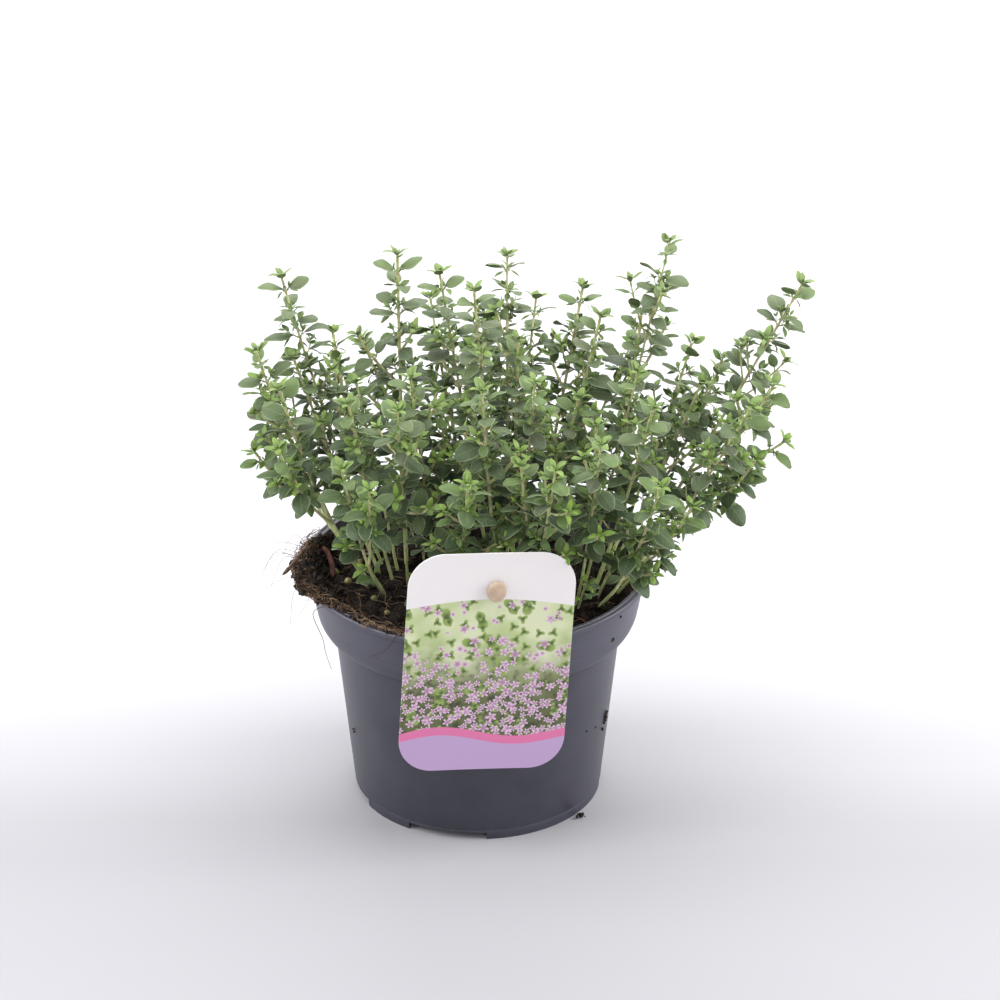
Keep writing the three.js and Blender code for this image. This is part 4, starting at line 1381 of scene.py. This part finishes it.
def labelPrint():
    finish = Finish("labelPrint", **{"Specular IOR Level": 0.45})
    spot = finish.node("UVMap", {"uv_map": "print"}, {})
    x = finish.axis(spot, 0) * label["width"]
    y = finish.axis(spot, 1) * label["height"]
    board = finish.node("CombineXYZ", {}, {0: x, 1: y})
    soft = finish.noise(board, 0.07, 2)
    low = 1 - (y + soft * 24 - 12).rise(26, 56)
    meadow = finish.mix(soft.rise(0.35, 0.65), tint(178, 192, 138), tint(206, 212, 176))
    meadow = finish.mix(low, meadow, tint(92, 98, 62))
    meadow = finish.mix(finish.noise(board, 0.35, 3).rise(0.45, 0.7) * low, meadow, tint(58, 62, 44))
    greens, pinks = (tint(74, 96, 48), tint(140, 160, 86)), (tint(164, 120, 150), tint(216, 188, 212))
    meadow = scatter(finish, board, meadow, 0.1, 0.62, 0.5, *greens, 2)
    meadow = scatter(finish, board, meadow, 0.19, 0.66, 0.75, *greens, 3)
    for scale, size, amount in ((0.14, 0.5, 0.4), (0.21, 0.62, 0.65), (0.3, 0.66, 0.7)):
        meadow = scatter(finish, board, meadow, scale, size, low * amount + 0.2, *pinks, 5)
    wave = y - 12.5 - (x * 0.11).sine() * 2.2
    arch = 67 + (x * 0.0515).sine() * 3
    plate = finish.mix((arch - y).rise(-0.15, 0.15), tint(226, 222, 221), meadow)
    plate = finish.mix(1 - (wave - 3.4).rise(-0.15, 0.15), plate, tint(208, 112, 156))
    plate = finish.mix(1 - wave.rise(-0.15, 0.15), plate, tint(178, 152, 190))
    finish.bump(finish.noise(board, 1.2, 2), 0.03, 0.0002)
    return finish.surface(plate, 0.32 + soft * 0.1)


# Blossoms or leaves scattered over the board: one for each cell, with round petals
def scatter(finish, board, under, scale, size, amount, dark, pale, petals):
    inputs = {"Vector": board, "Scale": scale, "Randomness": 0.85}
    middle = finish.node("TexVoronoi", {"voronoi_dimensions": "2D"}, inputs, "Position")
    offset = finish.node("VectorMath", {"operation": "SUBTRACT"}, {0: board, 1: middle})
    across, up = finish.axis(offset, 0), finish.axis(offset, 1)
    angle = across.maths("ARCTAN2", up, across)
    reach = (across * across + up * up) ** 0.5 * scale
    luck = finish.axis(finish.node("TexWhiteNoise", {}, {"Vector": middle}, "Color"), 0)
    lobes = angle * petals + luck * 6
    edge = size * (0.62 + lobes.maths("COSINE", lobes) * 0.3)
    mask = (1 - (reach - edge * 0.62).rise(-0.03, 0.05)) * (1 - luck.rise(amount - 0.02, amount))
    petal = finish.mix(reach.rise(0.02, 0.3), dark, pale)
    return finish.mix(mask, under, petal)


def makePin():
    bm = bmesh.new()
    path = pinLine()
    fine = smoothPath([*path[:2], *path[2:21:3], *path[21:]], 1.5)
    addSkin(bm, tubeRings(fine, [label["pinRadius"]] * len(fine), 20))
    head = bmesh.ops.create_uvsphere(bm, u_segments=40, v_segments=20, radius=1)["verts"]
    bmesh.ops.scale(bm, vec=label["head"], verts=head)
    for vert in head:
        dent = label["headDent"] * math.exp(-(vert.co.x ** 2 + vert.co.y ** 2) / 3) * (vert.co.z > 0)
        lift = vert.co.z + label["thick"] + label["headGap"] + label["head"][2] - dent
        vert.co = Vector(onLabel(vert.co.x + label["holeAcross"], vert.co.y + label["holeUp"], lift))
    bmesh.ops.recalc_face_normals(bm, faces=bm.faces)
    finishPiece("label_stake", bm, [pinPlastic()], ["label_pin"], sharp=60)


def pinPlastic():
    finish = Finish("pinPlastic", **{"Specular IOR Level": 0.4})
    place = finish.place()
    cloud = finish.noise(place, 260, 3, 0.6)
    colour = finish.mix(cloud.rise(0.35, 0.7), tint(178, 154, 132), tint(198, 176, 154))
    finish.bump(finish.noise(place, 1800, 2), 0.15, 0.0002)
    return finish.surface(colour, 0.45 + cloud * 0.12)


# Small things on the soil and the pot

beads = {
    "radius": 1.7, "lift": 0.75, "solids": 3,
    # Place in plan, and share of the full radius; the first ones stand for solids
    "places": [(-48, -9.5, 0.8), (-53, 1, 0.8), (-38, -21, 0.8),
               (-33, -33, 0.62), (-44, 9, 0.62), (-20, -43, 0.62)],
}


def makeBeads():
    finish = beadCoat()
    for i, (x, y, share) in enumerate(beads["places"]):
        bm = bmesh.new()
        made = bmesh.ops.create_icosphere(bm, subdivisions=4, radius=beads["radius"] * share)["verts"]
        centre = Vector((x, y, soilTop(x, y) + beads["lift"]))
        for vert in made:
            vert.co = centre + vert.co * (1 + 0.12 * noise.noise(vert.co * 0.9 + centre))
        nodes = [f"bead_{i + 1}"] if i < beads["solids"] else []
        finishPiece(f"feed_bead_{i + 1}", bm, [finish], nodes)


def beadCoat():
    finish = Finish("beadCoat", **{"Specular IOR Level": 0.5})
    place = finish.place()
    cloud = finish.noise(place, 500, 3, 0.6)
    colour = finish.mix(cloud.rise(0.35, 0.7), tint(104, 98, 54), tint(172, 166, 112))
    finish.bump(cloud, 0.2, 0.0003)
    return finish.surface(colour, 0.35 + cloud * 0.2)


# A thin woody strip or stick along a bent path, its surface broken by noise
def makeStick(name, node, stick, material):
    bm = bmesh.new()
    path = smoothPath(stickPath(stick), 0.6)
    shares = np.linspace(0, 1, len(path))
    ends = np.minimum(1, 6 * np.minimum(shares, 1 - shares) + 0.35)
    rings = tubeRings(path, [1] * len(path), 12, (0, 0, 1))
    headings = np.gradient(path, axis=0)
    for point, heading, ring, scale in zip(path, headings, rings, ends):
        across = unit(np.cross(heading, vec(0, 0, 1)))
        up = unit(np.cross(across, heading))
        for i, spoke in enumerate(ring):
            away = spoke - point
            shape = (across * away.dot(across) * stick["width"] + up * away.dot(up) * stick["thick"]) / 2
            ragged = 1 + 0.28 * noise.noise(Vector(point + away * 0.6) * 0.8)
            ring[i] = point + shape * scale * ragged
    addSkin(bm, rings)
    bmesh.ops.recalc_face_normals(bm, faces=bm.faces)
    finishPiece(name, bm, [material], [node], sharp=60)


def woodFinish(name, dark, pale):
    finish = Finish(name, **{"Specular IOR Level": 0.25})
    fibre = finish.noise(finish.stretched((700, 160, 700)), 1, 4, 0.65)
    colour = finish.mix(fibre.rise(0.3, 0.7), dark, pale)
    finish.bump(fibre, 0.6, 0.0005)
    return finish.surface(colour, 0.7 + fibre * 0.2)


# Seven points along a stick, with its bow sideways
def stickPath(stick):
    turn, pitch = math.radians(stick["turn"]), math.radians(stick["pitch"])
    way = vec(math.cos(turn) * math.cos(pitch), math.sin(turn) * math.cos(pitch), -math.sin(pitch))
    side = vec(-math.sin(turn), math.cos(turn), 0) * stick["bow"]
    marks = np.linspace(-0.5, 0.5, 7)
    return [vec(*stick["place"]) + way * stick["length"] * m + side * (1 - 4 * m * m) for m in marks]


def makeSticks():
    red = woodFinish("barkRed", tint(58, 35, 29), tint(106, 68, 56))
    brown = woodFinish("twigBrown", tint(72, 55, 47), tint(130, 108, 94))
    makeStick("bark_strip", "bark_sliver", sliver, red)
    makeStick("dry_twig", "twig", twig, brown)


# Fine roots and fibres that lie on the soil, tangle along the rim and hang over it
roots = {
    "seed": 63, "step": 1.6, "sides": 5,
    # On the soil: count, first angle, last angle, reach from the middle, radius
    "onSoil": (110, 150, 400, 57, 0.13),
    # At the rim: first angle, last angle, count, shortest, longest
    "atRim": [(196, 264, 120, 6, 22), (-19, -9, 24, 3, 9)], "rimReach": (56, 63.5),
    "onSpill": 190,
    # Hairs that stick out over the lip: count, first angle, last angle, radius
    "hairs": (9, 166, 228, 0.09),
    # Long roots over the band and the lip, each through points by angle, reach and height
    "long": [[(243, 62, 93.6), (244, 66.6, 93.4), (241, 65.2, 88), (236, 62.6, 82), (230, 61.6, 78)],
             [(214, 66, 94), (211, 70, 90), (213, 67.5, 80), (211, 65, 72), (213, 64, 66)]],
    "longRadius": 0.14,
}


def restHeight(x, y):
    reach = math.hypot(x, y)
    if reach > pot["rimRadius"] - pot["lipWidth"] - 1.5:
        return pot["height"] + 0.2
    return soilTop(x, y) + 0.9


# A root's path over the soil: a walk that curls by chance and turns back at the rim
def wander(place, heading, length, curl, chance, lift):
    x, y, _ = place
    path = []
    for k in range(max(4, round(length / roots["step"]))):
        wave = lift * math.sin(k * 0.9 + heading)
        path.append(vec(x, y, restHeight(x, y) + abs(wave)))
        heading += chance.uniform(-curl, curl)
        x += roots["step"] * math.cos(heading)
        y += roots["step"] * math.sin(heading)
        if math.hypot(x, y) > pot["rimRadius"] - 0.5:
            heading += 1.4
    return path


# Each of these yields paths with their radius
def soilRoots(chance):
    count, first, last, reach, radius = roots["onSoil"]
    for _ in range(count):
        angle = math.radians(chance.uniform(first, last))
        spot = polar(reach * math.sqrt(chance.random()), angle)
        yield wander(spot, chance.uniform(0, 6.3), chance.uniform(5, 18), 0.4, chance, 0.9), radius


def rimRoots(chance):
    for first, last, count, shortest, longest in roots["atRim"]:
        for _ in range(count):
            angle = math.radians(chance.uniform(first, last))
            spot = polar(chance.uniform(*roots["rimReach"]), angle)
            way = angle + math.pi / 2 + chance.uniform(-0.6, 0.6) + chance.choice((0, math.pi))
            length = chance.uniform(shortest, longest)
            yield wander(spot, way, length, 0.38, chance, 1.4), chance.uniform(0.1, 0.17)


# Fibres wound round the spill, as seen along its arc
def spillRoots(chance):
    for _ in range(roots["onSpill"]):
        u = chance.uniform(0.06, 1.06)
        bulge = spillAmount(u)
        out, up = polar(1, spillAngle(u)), vec(0, 0, 1)
        centre = out * (61.8 + 4 * bulge) + up * (pot["height"] + 0.4 + 1.1 * bulge)
        onward = np.cross(up, out)
        spin, drift = chance.uniform(-0.6, 3.8), 0.0
        wide, tall = chance.uniform(2.2, 4.6) * (0.5 + 0.5 * bulge), chance.uniform(1, 2.2)
        way = chance.choice((-1, 1))
        path = []
        for _ in range(chance.randint(4, 10)):
            path.append(centre + out * wide * math.cos(spin) + up * tall * math.sin(spin) + onward * drift)
            spin += chance.gauss(0, 0.5)
            drift += way * chance.uniform(0.2, 2.2)
        yield path, chance.uniform(0.07, 0.14)


def hangingHairs(chance):
    count, first, last, radius = roots["hairs"]
    for _ in range(count):
        angle = math.radians(chance.uniform(first, last))
        out, across = polar(1, angle), vec(-math.sin(angle), math.cos(angle), 0)
        far = chance.uniform(7, 20)
        drop = chance.uniform(-14, 3)
        start = out * 64 + vec(0, 0, pot["height"] + 1.2)
        middle = start + out * far * 0.6 + across * chance.uniform(-6, 6) + vec(0, 0, 2.5)
        yield [start, middle, start + out * far + vec(0, 0, drop)], radius


def longRoots():
    for points in roots["long"]:
        yield [polar(r, math.radians(a), z) for a, r, z in points], roots["longRadius"]


def makeRoots():
    chance = random.Random(roots["seed"])
    bm = bmesh.new()
    bm.verts.layers.float.new("tone")
    paths = [*soilRoots(chance), *rimRoots(chance), *spillRoots(chance), *hangingHairs(chance),
             *longRoots()]
    for path, radius in paths:
        fine = smoothPath(path, 1.3)
        radii = radius * np.linspace(1.15, 0.6, len(fine))
        tones = {"tone": [chance.random()] * len(fine)}
        addSkin(bm, tubeRings(fine, radii, roots["sides"], (0.3, 0.2, 1)), tones)
    bmesh.ops.recalc_face_normals(bm, faces=bm.faces)
    finishPiece("fine_roots", bm, [rootFibre()], sharp=180)


def rootFibre():
    finish = Finish("rootFibre", **{"Specular IOR Level": 0.25})
    tone = finish.attribute("tone")
    cloud = finish.noise(finish.place(), 300, 3)
    colour = finish.mix(tone ** 1.6, tint(66, 46, 36), tint(158, 132, 104))
    colour = finish.mix(cloud.rise(0.4, 0.7) * 0.5, colour, tint(78, 56, 40))
    finish.bump(cloud, 0.3, 0.0002)
    return finish.surface(colour, 0.65 + cloud * 0.2)


def main():
    addCamera()
    addLights()
    addFloor()
    print("stage: ready")
    makePot()
    print("pot: ready")
    makeSoil()
    print("soil: ready")
    makePlant()
    print("plant: ready")
    makeLabel()
    makePin()
    print("label: ready")
    makeBeads()
    makeSticks()
    makeRoots()
    print("bits: ready")


main()
